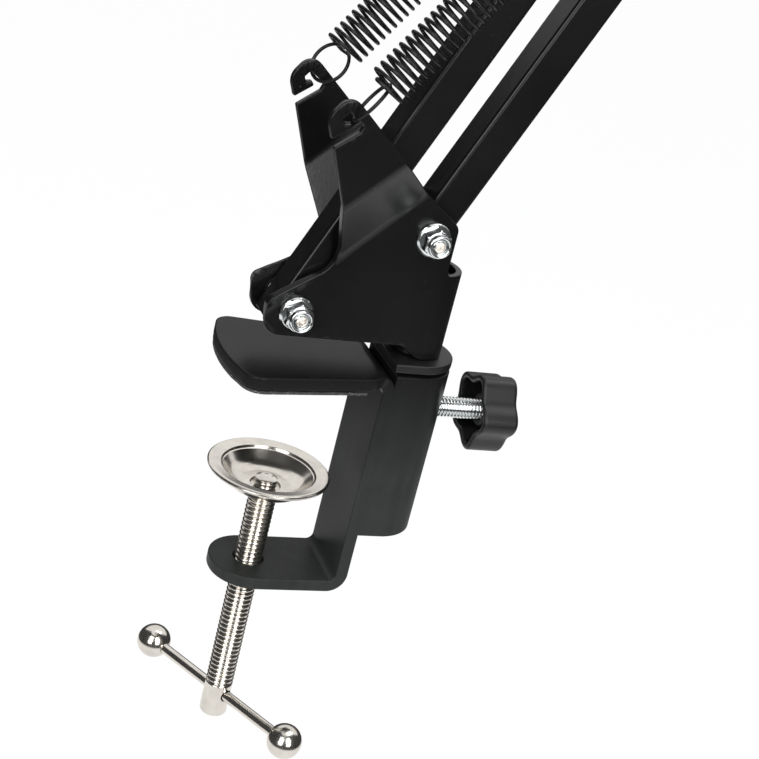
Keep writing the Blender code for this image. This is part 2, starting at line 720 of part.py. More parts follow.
def base_bracket(finish, parent):
    """Base bracket: one sheet wrapped round the post, whose two sides flare out into hooked ears."""
    seam = POST_X + PLATE_HALF * pi / 2
    holes = [circle((p.x, p.z), HOLE_R) for p in (FRONT_PIVOT, REAR_PIVOT)]
    bm = blank(bracket_outline(seam), holes)
    for k in range(6):
        crease(bm, (POST_X + k * PLATE_HALF * pi / 12, 0, 0), (1, 0, 0))
    across = Vector((-1, 0, 1)).normalized()
    for bend in (BEND_LOW, BEND_HIGH):
        for shift in (-BEND_SOFT, 0, BEND_SOFT):
            crease(bm, across * (bend + shift), across)
    for vert in bm.verts:
        x, z = vert.co.x, vert.co.z
        if x <= POST_X:
            vert.co = (x, -PLATE_HALF - flare(x, z), z)
        else:
            a = (x - POST_X) / PLATE_HALF
            vert.co = (POST_X + PLATE_HALF * sin(a), -PLATE_HALF * cos(a), z)
    merge_flats(bm)
    copy = bmesh.ops.duplicate(bm, geom=bm.verts[:] + bm.edges[:] + bm.faces[:])["geom"]
    for vert in [item for item in copy if isinstance(item, bmesh.types.BMVert)]:
        vert.co.y = -vert.co.y
    bmesh.ops.remove_doubles(bm, verts=bm.verts, dist=1e-6)
    bmesh.ops.recalc_face_normals(bm, faces=bm.faces)
    outward = sum(face.normal.y * face.calc_center_median().y for face in bm.faces)
    if outward < 0:
        bmesh.ops.reverse_faces(bm, faces=bm.faces)
    mesh = bpy.data.meshes.new("base_bracket")
    bm.to_mesh(mesh)
    bm.free()
    mesh.shade_smooth()
    mesh.set_sharp_from_angle(angle=radians(40))
    obj = bpy.data.objects.new("base_bracket", mesh)
    mesh.materials.append(finish)
    bpy.context.collection.objects.link(obj)
    attach(obj, parent)
    solidify(obj, SHEET_T, -1)


def base_post(finish, parent):
    """Post with a thicker head held in the bracket's wrap, which turns in the socket."""
    head = PLATE_IN - GAP
    low = SOCKET_TOP_Z - POST_DEPTH
    top = WRAP_BOTTOM_Z + WRAP_HEIGHT - 1.6 * MM
    chamfer = 0.8 * MM
    rings = [
        (0, low),
        (POST_D / 2 - chamfer, low),
        (POST_D / 2, low + chamfer),
        (POST_D / 2, WRAP_BOTTOM_Z),
        (head, WRAP_BOTTOM_Z),
        (head, top - chamfer),
        (head - chamfer, top),
        (0, top),
    ]
    bm = loft(bmesh.new(), Matrix.Translation((POST_X, 0, 0)), rings, 20)
    make("base_post", bm, finish, parent)


def bar(name, low, lean, finish, parent, pins=()):
    """Square tube between two pivots, drilled for its bolts and for any spring pin."""
    half = BAR_SIZE / 2
    loops = []
    ends = (-BAR_END, ARM_LENGTH + BAR_END)
    place = Matrix.Translation(low) @ Matrix.Rotation(lean, 4, "Y")
    bm = bmesh.new()
    for end in ends:
        for inset in (0, BAR_WALL):
            side = half - inset
            corners = [(sx * side, sy * side, max(BAR_CORNER_R - inset, 0.3 * MM))
                       for sx, sy in ((1, 1), (-1, 1), (-1, -1), (1, -1))]
            outline = rounded(corners, radians(45))
            loops.append([bm.verts.new(place @ Vector((p.x, p.y, end))) for p in outline])
    outer_low, inner_low, outer_high, inner_high = loops
    count = len(outer_low)
    for a, b in ((outer_low, outer_high), (outer_high, inner_high), (inner_high, inner_low), (inner_low, outer_low)):
        for k in range(count):
            n = (k + 1) % count
            bm.faces.new((a[k], a[n], b[n], b[k]))
    tube = make(name, bm, finish, parent)
    pivots = [(0, PIVOT_BUSH_R + GAP), (ARM_LENGTH, PIVOT_BUSH_R + GAP)]
    for at, radius in pivots + [(up, PIN_D / 2 + GAP) for up in pins]:
        spot = place @ Matrix.Translation((0, 0, at)) @ TO_MINUS_Y
        cut(tube, cutter(f"{name}_hole_{round(at / MM)}", cylinder(spot, radius, -BAR_SIZE, BAR_SIZE, 10)))


def bolt_rings():
    """Rings of a flanged hex bolt, from its head on the far side to its end."""
    start = -PLATE_HALF - GAP
    end = PLATE_HALF + GAP + NUT_HEIGHT + 0.6 * MM
    r = BOLT_D / 2
    hex_head = hexagon(NUT_FLATS)
    return [
        (0, start - 3.6 * MM),
        (hex_head, start - 3.6 * MM),
        (hex_head, start - 1.0 * MM),
        (NUT_FLANGE_D / 2, start - 1.0 * MM),
        (NUT_FLANGE_D / 2, start),
        (r, start),
        (r, end),
        (0, end),
    ]


def nut_rings():
    """Rings of a flanged hex lock nut with a round collar."""
    start = PLATE_HALF + GAP
    r = BOLT_D / 2 + GAP
    hex_body = hexagon(NUT_FLATS)
    collar = NUT_COLLAR_D / 2
    end = start + NUT_HEIGHT
    return [
        (r, start),
        (NUT_FLANGE_D / 2, start),
        (NUT_FLANGE_D / 2, start + 0.8 * MM),
        (hex_body, start + 1.3 * MM),
        (hex_body, start + 3.1 * MM),
        (collar, start + 3.4 * MM),
        (collar, end),
        (r, end),
    ]


def pivot_bush_rings():
    """Rings of a nylon bush snapped through a bar, with a flange on both sides of it."""
    inner = BAR_SIZE / 2 + GAP
    outer = PLATE_IN - GAP
    flange = PIVOT_BUSH_FLANGE_D / 2
    return [
        (HOLE_R, -outer),
        (flange, -outer),
        (flange, -inner),
        (PIVOT_BUSH_R, -inner),
        (PIVOT_BUSH_R, inner),
        (flange, inner),
        (flange, outer),
        (HOLE_R, outer),
    ]


def fasteners(prefix, places, zinc, nylon, parent, steps=12):
    """Bolt, nut and bush of each pivot of a group of plates."""
    for which, spot in places.items():
        place = Matrix.Translation(spot) @ TO_MINUS_Y
        make(f"{prefix}_{which}_bolt", loft(bmesh.new(), place, bolt_rings(), 12), zinc, parent)
        make(f"{prefix}_{which}_nut", loft(bmesh.new(), place, nut_rings(), steps, bored=True), zinc, parent)
        rings = pivot_bush_rings()
        make(f"{prefix}_{which}_bush", loft(bmesh.new(), place, rings, 10, bored=True), nylon, parent)


def spring_pin(name, place, finish, parent):
    """Cross pin with headed ends and a collar beside the bar or plates that hold it."""
    r = PIN_D / 2
    end = SPRING_Y + WIRE_D + PIN_HEAD_T + 0.6 * MM
    head = end - PIN_HEAD_T
    stop = PLATE_HALF + GAP
    collar = r + 1.3 * MM
    half_rings = [(r, stop), (collar, stop), (collar, stop + 1.2 * MM), (r, stop + 1.2 * MM),
                  (r, head), (PIN_HEAD_D / 2, head), (PIN_HEAD_D / 2, end), (0, end)]
    rings = [(radius, -height) for radius, height in reversed(half_rings)] + half_rings
    bm = loft(bmesh.new(), Matrix.Translation(place) @ TO_MINUS_Y, rings, 10)
    make(name, bm, finish, parent)


def spring_path(seat, far, y, curls, seat_tilt, round_pin):
    """Centre line of one extension spring: loop, coils and loop, as one unbroken line.

    The line is worked out on the axis from the seat to the far pin. A loop is a ring in a plane
    through that axis, tilted about it, and the wire rises into it over a quarter turn.
    """
    axis = (far - seat).normalized()
    side = Vector((axis.z, 0, -axis.x))
    out = Vector((0, 1, 0))
    start = seat + Vector((0, y, 0))
    reach = PIN_D / 2 + GAP + WIRE_D / 2
    end = far + Vector((0, y, 0)) + axis * reach
    loops = []
    for base, away, tilt in ((start, -axis, seat_tilt), (end, axis, round_pin)):
        across = cos(tilt) * side + sin(tilt) * out
        centre = base - away * COIL_R
        ring = [
            centre + COIL_R * (cos(a) * across + sin(a) * away)
            for a in np.radians(np.arange(-35, 281, 35))
        ]
        root = centre - away * (COIL_R + LOOP_STEP)
        loops.append((ring, root, across))
    (ring_a, root_a, across_a), (ring_b, root_b, across_b) = loops
    length = (root_b - root_a).length
    first = atan2(across_a.dot(out), across_a.dot(side))
    last = atan2(across_b.dot(out), across_b.dot(side)) + 2 * pi * curls
    count = curls * CURL_POINTS
    coil = []
    for k in range(count + 1):
        part = k / count
        angle = first + (last - first) * part
        coil.append(root_a + axis * length * part + COIL_R * (cos(angle) * side + sin(angle) * out))
    return ring_a[::-1] + coil + ring_b


def least_gap(points):
    """Smallest clear distance between stretches of a wire that aren't neighbours along it."""
    line = np.array([tuple(p) for p in points])
    steps = np.linalg.norm(np.diff(line, axis=0), axis=1)
    along = np.concatenate([[0], np.cumsum(steps)])
    apart = np.linalg.norm(line[:, None] - line[None], axis=2)
    near = np.abs(along[:, None] - along[None]) < 6 * WIRE_D
    return float(np.where(near, 1.0, apart).min()) - WIRE_D


def spring(name, seat, far, y, curls, finish, parent, seat_tilt=0.0):
    """Extension spring as one wire."""
    points = spring_path(seat, far, y, curls, seat_tilt, 0.0)
    print(f"{name}: least gap of the wire to itself {least_gap(points) / MM:.2f} mm")
    curve = bpy.data.curves.new(name, "CURVE")
    curve.dimensions = "3D"
    curve.bevel_depth = WIRE_D / 2
    curve.bevel_resolution = 1
    curve.use_fill_caps = True
    spline = curve.splines.new("POLY")
    spline.points.add(len(points) - 1)
    shift = parent.matrix_world.translation
    for point, place in zip(spline.points, points):
        point.co = (*(place - shift), 1)
    curve.materials.append(finish)
    obj = bpy.data.objects.new(name, curve)
    bpy.context.collection.objects.link(obj)
    obj.location = shift
    attach(obj, parent)


def side_plates(prefix, centres, holes, finish, parent):
    """Two equal plates on both sides of the bars, with their bolt holes."""
    outline = belt([Vector((c.x, c.z)) for c in centres], PLATE_R)
    rings = [circle((c.x, c.z), r) for c, r in holes]
    for side, low, high in (("near", -PLATE_HALF, -PLATE_IN), ("far", PLATE_IN, PLATE_HALF)):
        make(f"{prefix}_plate_{side}", plate(outline, rings, low, high), finish, parent)


def tilt_head(zinc, black, plastic, head, tilt, turn):
    """Tilting block with the microphone's thread, its bolt and its knob."""
    place = Matrix.Translation(TILT) @ TO_MINUS_Y
    half = PLATE_IN - GAP
    r = TILT_BLOCK_R
    width = STUD_D / 2 + 1.6 * MM
    outline = rounded([(r * 0.9, -r * 0.9, r * 0.8), (r * 0.9, TILT_BLOCK_TOP, 1.5 * MM),
                       (-r * 0.9, TILT_BLOCK_TOP, 1.5 * MM), (-r * 0.9, -r * 0.9, r * 0.8)])
    points = [Vector((TILT.x + p.x, TILT.z + p.y)) for p in outline]
    hole = circle((TILT.x, TILT.z), TILT_BOLT_D / 2 + GAP)
    make("tilt_block", plate(points, [hole], -half, half), black, tilt)
    base = Matrix.Translation(TILT + Vector((0, 0, TILT_BLOCK_TOP + GAP)))
    stud_r = STUD_D / 2
    stud = [(0, 0), (width * 0.8, 0), (width * 0.8, 1.2 * MM), (stud_r, 1.2 * MM),
            (stud_r, STUD_LENGTH - 1 * MM), (stud_r - 1 * MM, STUD_LENGTH), (0, STUD_LENGTH)]
    make("mic_stud", loft(bmesh.new(), base, stud, 20), zinc, tilt)
    low = 1.2 * MM + GAP
    flange = ADAPTER_FLANGE_D / 2
    sleeve = ADAPTER_D / 2
    bore = stud_r + GAP
    top = low + ADAPTER_FLANGE_T + ADAPTER_LENGTH
    adapter = [(bore, low), (flange - 0.4 * MM, low), (flange, low + 0.4 * MM),
               (flange, low + ADAPTER_FLANGE_T - 0.4 * MM), (flange - 0.4 * MM, low + ADAPTER_FLANGE_T),
               (sleeve, low + ADAPTER_FLANGE_T), (sleeve, top - 0.8 * MM), (sleeve - 0.8 * MM, top), (bore, top)]
    make("thread_adapter", loft(bmesh.new(), base, adapter, 20, bored=True), zinc, tilt)
    reach = PLATE_HALF + GAP
    bolt_r = TILT_BOLT_D / 2
    scale = HEAD_KNOB_SCALE
    hub = scale * (KNOB_LENGTH - KNOB_FLOOR)
    length = reach + hub
    rings = [(0, -reach - 3.2 * MM), (4.4 * MM, -reach - 3.2 * MM), (4.8 * MM, -reach - 2.6 * MM),
             (4.8 * MM, -reach), (bolt_r, -reach), (bolt_r, length), (0, length)]
    make("tilt_bolt", loft(bmesh.new(), place, rings, 20), zinc, head)
    start = Matrix.Translation((0, 0, reach))
    knob = knob_rings(scale, bolt_r + GAP, hub)
    make("tilt_knob", loft(bmesh.new(), place @ start, knob, 4 * KNOB_LOBES), plastic, turn)


def build():
    """Every piece, in the order of assembly."""
    for obj in list(bpy.data.objects):
        bpy.data.objects.remove(obj, do_unlink=True)
    coat = material("black_powder_coat", (0.022, 0.022, 0.021), 0.42)
    nickel = material("nickel", (0.62, 0.60, 0.56), 0.22, 1.0)
    zinc = material("bright_zinc", (0.66, 0.69, 0.72), 0.26, 1.0)
    plastic = material("black_plastic", (0.018, 0.018, 0.02), 0.5)
    rubber = material("grip_pad", (0.05, 0.05, 0.05), 0.9)
    wire = material("spring_wire", (0.03, 0.03, 0.03), 0.35, 0.6)
    nylon = material("nylon", (0.7, 0.7, 0.68), 0.5)

    clamp_frame(coat)
    jaw_pad(rubber)
    socket(coat)
    bush(plastic)

    travel = pivot("clamp_travel_axis", (0, 0, -DISC_BELOW_PAD))
    dish = disc(nickel, travel)
    screw_axis = pivot("clamp_screw_axis", (0, 0, -DISC_BELOW_PAD), travel)
    end = clamp_screw(nickel, screw_axis, dish)
    tommy_axis = pivot("tommy_bar_axis", (0, 0, end + TOMMY_FROM_END), screw_axis)
    tommy_bar(nickel, tommy_axis, end)
    lock(zinc, plastic, pivot("lock_axis", (POST_X, 0, LOCK_Z)))

    base = pivot("swivel_axis", (POST_X, 0, SOCKET_TOP_Z))
    base_bracket(coat, base)
    base_post(zinc, base)
    fasteners("base", {"front": FRONT_PIVOT, "rear": REAR_PIVOT}, zinc, nylon, base, 24)

    front = pivot("lower_front_axis", FRONT_PIVOT, base)
    rear = pivot("lower_rear_axis", REAR_PIVOT, base)
    bar("lower_bar_front", FRONT_PIVOT, LOWER_LEAN, coat, front)
    bar("lower_bar_rear", REAR_PIVOT, LOWER_LEAN, coat, rear, [LOWER_PIN_UP])
    lower_pin = REAR_PIVOT + LOWER_PIN_UP * LOWER_DIR
    spring_pin("lower_spring_pin", lower_pin, zinc, rear)
    spring("lower_spring_near", HOOK_SEAT, lower_pin, -SPRING_Y, LOWER_CURLS, wire, base, radians(77))
    spring("lower_spring_far", HOOK_SEAT, lower_pin, SPRING_Y, LOWER_CURLS, wire, base, radians(-60))

    elbow = pivot("elbow_axis", ELBOW_FRONT, front)
    elbow_pivots = {"front": ELBOW_FRONT, "rear": ELBOW_REAR, "low": ELBOW_LOW, "high": ELBOW_HIGH}
    elbow_pin = ELBOW_HIGH + ELBOW_PIN
    holes = [(p, HOLE_R) for p in elbow_pivots.values()] + [(elbow_pin, PIN_D / 2 + GAP)]
    side_plates("elbow", (ELBOW_FRONT, ELBOW_REAR, elbow_pin, ELBOW_HIGH, ELBOW_LOW), holes, coat, elbow)
    fasteners("elbow", elbow_pivots, zinc, nylon, elbow)
    spring_pin("elbow_spring_pin", elbow_pin, zinc, elbow)

    upper_low = pivot("upper_low_axis", ELBOW_LOW, elbow)
    upper_high = pivot("upper_high_axis", ELBOW_HIGH, elbow)
    bar("upper_bar_lower", ELBOW_LOW, UPPER_LEAN, coat, upper_low, [UPPER_PIN_OUT])
    bar("upper_bar_upper", ELBOW_HIGH, UPPER_LEAN, coat, upper_high)
    upper_pin = ELBOW_LOW + UPPER_PIN_OUT * UPPER_DIR
    spring_pin("upper_spring_pin", upper_pin, zinc, upper_low)
    reach = (upper_pin - elbow_pin).normalized() * (PIN_D / 2 + GAP + WIRE_D / 2)
    for side, y in (("near", -SPRING_Y), ("far", SPRING_Y)):
        spring(f"upper_spring_{side}", elbow_pin - reach, upper_pin, y, UPPER_CURLS, wire, elbow)

    head = pivot("head_axis", HEAD_LOW, upper_low)
    head_pivots = {"low": HEAD_LOW, "high": HEAD_HIGH}
    holes = [(p, HOLE_R) for p in head_pivots.values()] + [(TILT, TILT_BOLT_D / 2 + GAP)]
    side_plates("head", (TILT, HEAD_LOW, HEAD_HIGH), holes, coat, head)
    fasteners("head", head_pivots, zinc, nylon, head)
    tilt = pivot("tilt_axis", TILT, head)
    knob_turn = pivot("tilt_knob_axis", TILT, head)
    tilt_head(zinc, coat, plastic, head, tilt, knob_turn)


build()
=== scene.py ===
"""Desk-clamp microphone stand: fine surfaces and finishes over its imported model.

Lengths are written in millimetres and become metres where a mesh is made. Surfaces are worked out as
whole arrays: a profile turned about an axis, a section carried along a path, or a flat blank with a
rounded rim that is then folded.
"""

import bmesh
import bpy
import numpy as np
from math import acos, ceil, cos, pi, radians, sin, tan
from mathutils import Matrix, Vector
from mathutils.geometry import delaunay_2d_cdt


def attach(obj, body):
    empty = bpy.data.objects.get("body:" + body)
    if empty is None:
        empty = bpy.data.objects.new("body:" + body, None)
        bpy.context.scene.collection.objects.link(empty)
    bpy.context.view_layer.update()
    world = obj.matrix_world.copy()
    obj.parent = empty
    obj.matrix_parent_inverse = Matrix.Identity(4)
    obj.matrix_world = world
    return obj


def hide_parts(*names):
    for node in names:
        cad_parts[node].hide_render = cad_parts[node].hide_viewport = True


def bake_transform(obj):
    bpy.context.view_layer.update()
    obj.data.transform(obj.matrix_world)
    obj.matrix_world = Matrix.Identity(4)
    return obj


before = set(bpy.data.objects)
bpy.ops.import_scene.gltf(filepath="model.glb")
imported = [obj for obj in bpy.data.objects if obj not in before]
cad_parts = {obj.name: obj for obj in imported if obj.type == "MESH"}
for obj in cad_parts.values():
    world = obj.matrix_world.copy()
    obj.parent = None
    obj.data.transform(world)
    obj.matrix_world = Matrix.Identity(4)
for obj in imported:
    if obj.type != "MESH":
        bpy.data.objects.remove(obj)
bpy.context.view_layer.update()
MM = 0.001
GAP = 0.3  # clearance between pieces that touch

# Clamp
STRIP_T, STRIP_HALF, BEND_R = 3.5, 11.75, 2.0
UPRIGHT_X = 22.2
UPRIGHT_OUT_X = UPRIGHT_X + STRIP_T
JAW_UNDER_Z, JAW_OPENING = 1.1, 59.3
JAW_MID_Z, LOWER_MID_Z = JAW_UNDER_Z + STRIP_T / 2, -JAW_OPENING - STRIP_T / 2
LOWER_END_X = -11.2
JAW_TIP_X, JAW_TIP_HALF, JAW_ROOT_HALF, JAW_SHOULDER = -21.0, 19.4, 15.1, 4.0
JAW_SIDE_HALF = JAW_TIP_HALF + 0.4  # where the straight sides would meet the bowed tip
JAW_TIP_ARC_R, JAW_CORNER_R = 52.0, 5.0
PAD_T, PAD_INSET = 0.8, 0.2
POST_X, POST_R, POST_END_Z = 32.2, 5.0, -36.5
SOCKET_TOP_Z, SOCKET_LENGTH = 4.5, 49.0
FLANGE_Z, FLANGE_T = 5.6, 2.4
LOCK_Z, LOCK_TIP_X, LOCK_END_X, LOCK_R = -8.7, 38.4, 61.4, 2.95
KNOB_X, KNOB_R, KNOB_LOBE, KNOB_LENGTH, KNOB_FLOOR = 54.2, 10.4, 1.15, 10.6, 3.4
DISC_Z, DISC_DISH = -30.6, 5.2
SCREW_R, SCREW_PITCH, SCREW_TOP_Z, SCREW_END_Z = 3.95, 1.411, -38.2, -111.4
SHANK_LENGTH, NUB_R = 10.6, 3.2
TOMMY_Z, TOMMY_TURN, TOMMY_HALF, TOMMY_R, BALL_R = -104.3, radians(29.6), 27.95, 1.55, 5.0

# Bracket, bars and springs
SHEET_T, SHEET_RIM, PLATE_HALF, EAR_FLARE = 1.8, 0.35, 8.0, 9.9
BEND_LOW, BEND_HIGH, BEND_SOFT = 22.7, 38.1, 1.4
WRAP_Z, WRAP_HEIGHT = FLANGE_Z + FLANGE_T + GAP, 24.3
SEAM = POST_X + PLATE_HALF * pi / 2
HOOK_SEAT, HOOK_LEAN = np.array((-5.95, 0, 72.75)), radians(35)
ARM, BAR_HALF, BAR_WALL, BAR_R, BAR_END = 330.0, 5.0, 1.0, 1.1, 6.0
LOWER_DIR = np.array((sin(radians(24)), 0, cos(radians(24))))
UPPER_DIR = np.array((sin(radians(-62)), 0, cos(radians(-62))))
FRONT = np.array((-5.4, 0, 18.4))
REAR = FRONT + (32.2, 0, 24.0)
ELBOW_FRONT, ELBOW_REAR = FRONT + ARM * LOWER_DIR, REAR + ARM * LOWER_DIR
ELBOW_LOW = ELBOW_FRONT + (10.0, 0, 34.0)
ELBOW_HIGH = ELBOW_LOW + (6.0, 0, 20.0)
ELBOW_PIN = ELBOW_HIGH + (4.0, 0, 16.0)
HEAD_LOW = ELBOW_LOW + ARM * UPPER_DIR
HEAD_HIGH = HEAD_LOW + (6.0, 0, 20.0)
TILT = HEAD_LOW + (-24.0, 0, 6.0)
LOWER_PIN, UPPER_PIN = REAR + 232.0 * LOWER_DIR, ELBOW_LOW + 140.0 * UPPER_DIR
SPRING_Y = PLATE_HALF + EAR_FLARE - SHEET_T / 2
WIRE_R, COIL_R, COIL_PITCH = 0.48, 5.1, 2.07
EYE_REACH, EYE_RISE = 5.6, 9.7  # half an eye's length, and from its seat to its coils
PIN_R, BOLT_R, BOLT_HOLE_R, NUT_ACROSS = 2.0, 2.0, 2.3, 7.0
TILT_HOLE_R = 2.8

UP = np.eye(3)
FRONTWARD = np.array(((1, 0, 0), (0, 0, -1), (0, 1, 0)))  # local Z onto -Y
BACKWARD = np.array(((1, 0, 0), (0, 0, 1), (0, -1, 0)))  # local Z onto +Y
SIDEWARD = np.array(((0, 0, 1), (0, 1, 0), (-1, 0, 0)))  # local Z onto +X


class Value:
    """What a node gives: Python's operators on it add Math nodes."""

    def __init__(self, graph, socket):
        self.graph, self.socket = graph, socket

    def math(self, operation, *others, clamp=False):
        inputs = dict(enumerate([self, *others]))
        return self.graph.node("ShaderNodeMath", {"operation": operation, "use_clamp": clamp}, inputs)

    def __add__(self, other):
        return self.math("ADD", other)

    def __sub__(self, other):
        return self.math("SUBTRACT", other)

    def __mul__(self, other):
        return self.math("MULTIPLY", other)

    def __truediv__(self, other):
        return self.math("DIVIDE", other)

    __radd__ = __add__

    def between(self, low, high):
        """0 below low, 1 above high, and even between."""
        return ((self - low) / (high - low)).math("MULTIPLY", 1.0, clamp=True)


class Graph:
    """A node tree: each new node gives a Value."""

    def __init__(self, tree):
        self.tree = tree

    def node(self, kind, settings=None, inputs=None, output=0):
        """Adds a node: its settings first, then the values or links of its sockets."""
        made = self.tree.nodes.new(kind)
        for name, value in (settings or {}).items():
            setattr(made, name, value)
        for name, value in (inputs or {}).items():
            self.feed(made.inputs[name], value)
        return Value(self, made.outputs[output])

    def feed(self, socket, value):
        """Links a Value to a socket, or sets the socket."""
        if isinstance(value, Value):
            self.tree.links.new(value.socket, socket)
        else:
            socket.default_value = value

    def seen(self):
        """1 for what the camera, a mirror or a clear body shows, and 0 where it only lights."""
        kinds = ("Camera", "Glossy", "Transmission")
        rays = [self.node("ShaderNodeLightPath", output=f"Is {kind} Ray") for kind in kinds]
        return rays[0] + rays[1] + rays[2]


class Finish(Graph):
    """One material, with a Principled shader whose sockets are numbers, colours or Values."""

    def __init__(self, name):
        self.material = bpy.data.materials.new(name)
        self.material.use_nodes = True
        super().__init__(self.material.node_tree)
        self.shader = self.tree.nodes["Principled BSDF"]
        self.place = self.node("ShaderNodeTexCoord", output="Object")

    def noise(self, scale, detail=3.0, roughness=0.5, stretch=(1, 1, 1)):
        """Fractal noise about 0.5, with so many features to the metre."""
        place = self.node("ShaderNodeMapping", inputs={"Vector": self.place, "Scale": stretch})
        inputs = {"Vector": place, "Scale": scale, "Detail": detail, "Roughness": roughness}
        return self.node("ShaderNodeTexNoise", inputs=inputs)

    def specks(self, scale):
        """Distance to the nearest of scattered points, with so many points to the metre."""
        return self.node("ShaderNodeTexVoronoi", inputs={"Vector": self.place, "Scale": scale})

    def height(self):
        """Height on the object, in metres."""
        return self.node("ShaderNodeSeparateXYZ", inputs={"Vector": self.place}, output="Z")

    def mix(self, factor, a, b):
        """Colour between two colours."""
        inputs = {0: factor, 6: a, 7: b}
        return self.node("ShaderNodeMix", {"data_type": "RGBA"}, inputs, output=2)

    def bump(self, height, depth):
        """Normal of a surface raised by a height between 0 and 1, times a depth in metres."""
        return self.node("ShaderNodeBump", inputs={"Height": height, "Distance": depth, "Strength": 1.0})

    def finish(self, colour, rough, **sockets):
        """Feeds the shader's sockets, named with _ for a space, and gives back the material."""
        for name, value in {"Base_Color": colour, "Roughness": rough, **sockets}.items():
            self.feed(self.shader.inputs[name.replace("_", " ")], value)
        return self.material


def grey(level):
    """Colour of a level."""
    return (level, level, level, 1)


def powder_coat():
    """Black powder coat: a fine orange peel, a soft cloudiness and few dust specks."""
    f = Finish("black_powder_coat")
    peel = f.noise(1500, 2.0)
    cloud = f.noise(38, 3.0)
    dust = f.specks(420).between(0.10, 0.04) * f.noise(60, 2.0).between(0.56, 0.7)
    colour = f.mix(cloud.between(0.3, 0.75), (0.0026, 0.0027, 0.0026, 1), (0.0048, 0.005, 0.0047, 1))
    colour = f.mix(dust * 0.5, colour, (0.12, 0.115, 0.11, 1))
    rough = 0.19 + cloud * 0.06 + peel * 0.06
    return f.finish(colour, rough, Normal=f.bump(peel, 0.000014), Specular_IOR_Level=0.32)


def clamp_coat():
    """The clamp's duller coat: dark grey-green over a rough strip, with brown scuffs, drawn streaks and
    painted shade darkening its top.
    """
    f = Finish("clamp_coat")
    peel = f.noise(1300, 3.0)
    cloud = f.noise(45, 4.0, 0.6)
    streak = f.noise(260, 3.0, 0.6, (1, 1, 0.12))
    scuff = f.noise(420, 4.0, 0.7).between(0.62, 0.74) * f.noise(55, 2.0).between(0.52, 0.66)
    top_shade_fade = (f.height() * -1.0).between(-0.004, 0.028)  # painted shade: darker at the clamp's top, where the bracket shades it, fading out below the jaw; the same ramp raises roughness lower down
    colour = f.mix(cloud.between(0.3, 0.75), (0.0145, 0.016, 0.0149, 1), (0.0215, 0.0242, 0.0223, 1))
    colour = f.mix(streak.between(0.45, 0.8) * 0.4, colour, (0.03, 0.033, 0.031, 1))
    # painted shade: near-black colour at the clamp's top, standing in for the bracket's shade
    colour = f.mix(top_shade_fade, (0.006, 0.0064, 0.006, 1), colour)
    colour = f.mix(scuff * 0.5, colour, (0.04, 0.03, 0.024, 1))
    rough = 0.22 + top_shade_fade * 0.14 + cloud * 0.08 + peel * 0.08 + scuff * 0.1
    return f.finish(colour, rough, Normal=f.bump(peel, 0.00003), Specular_IOR_Level=0.12)


def nickel():
    """Plated steel: warm, bright, with faint streaks and stains in the plating."""
    f = Finish("nickel_plate")
    stain = f.noise(240, 4.0)
    fine = f.noise(2600, 2.0)
    pit = f.specks(900).between(0.14, 0.05) * f.noise(150, 2.0).between(0.5, 0.62)
    colour = f.mix(stain.between(0.35, 0.7), (0.74, 0.70, 0.64, 1), (0.63, 0.60, 0.55, 1))
    colour = f.mix(pit * 0.6, colour, (0.2, 0.19, 0.17, 1))
    return f.finish(colour, 0.14 + stain * 0.1 + pit * 0.25, Metallic=1.0, Normal=f.bump(fine, 0.000006))


def zinc():
    """Bright zinc plate: cool, a little milky."""
    f = Finish("bright_zinc")
    milk = f.noise(500, 3.0)
    fine = f.noise(3000, 2.0)
    colour = f.mix(milk.between(0.35, 0.7), (0.84, 0.86, 0.86, 1), (0.72, 0.75, 0.76, 1))
    return f.finish(colour, 0.11 + milk * 0.1, Metallic=1.0, Normal=f.bump(fine, 0.00001))


def cut_end():
    """Sheared end of a bolt: warm, bright and pitted, so it scatters more light than it mirrors."""
    f = Finish("cut_bolt_end")
    grain = f.noise(1700, 3.0, 0.6)
    pit = f.noise(1300, 2.0).between(0.48, 0.62)
    colour = f.mix(pit, (0.70, 0.66, 0.60, 1), (0.22, 0.20, 0.17, 1))
    return f.finish(colour, 0.32 + grain * 0.2, Metallic=0.35, Normal=f.bump(grain, 0.00012))


def moulded():
    """Black moulded plastic with a fine spark-eroded grain."""
    f = Finish("black_moulding")
    grain = f.noise(2300, 3.0, 0.6)
    cloud = f.noise(90, 2.0)
    colour = f.mix(cloud, (0.0045, 0.0047, 0.0046, 1), (0.0085, 0.0088, 0.0086, 1))
    return f.finish(colour, 0.32 + grain * 0.16, Normal=f.bump(grain, 0.00006), Specular_IOR_Level=0.4)


def pad_rubber():
    """Grip pad: dark cellular rubber flecked with grey."""
    f = Finish("grip_pad")
    fleck = f.specks(1500).between(0.32, 0.16)
    crumb = f.noise(1800, 3.0)
    colour = f.mix(crumb.between(0.35, 0.7), (0.012, 0.012, 0.012, 1), (0.05, 0.05, 0.048, 1))
    colour = f.mix(fleck * f.noise(700, 2.0).between(0.5, 0.6), colour, (0.30, 0.29, 0.27, 1))
    return f.finish(colour, 0.75 + crumb * 0.2, Normal=f.bump(crumb, 0.00012))


def spring_steel():
    """Black-finished spring wire with a faint drawn grain."""
    f = Finish("spring_wire")
    wear = f.noise(900, 3.0)
    colour = f.mix(wear.between(0.4, 0.75), (0.004, 0.0038, 0.0038, 1), (0.011, 0.0105, 0.01, 1))
    return f.finish(colour, 0.22 + wear * 0.14, Normal=f.bump(wear, 0.00001), Specular_IOR_Level=0.25)


def nylon():
    """Milky nylon of the pivot bushes."""
    f = Finish("nylon")
    milk = f.noise(700, 2.0)
    colour = f.mix(milk, (0.62, 0.61, 0.57, 1), (0.72, 0.71, 0.68, 1))
    return f.finish(colour, 0.42 + milk * 0.12, Normal=f.bump(milk, 0.00003))


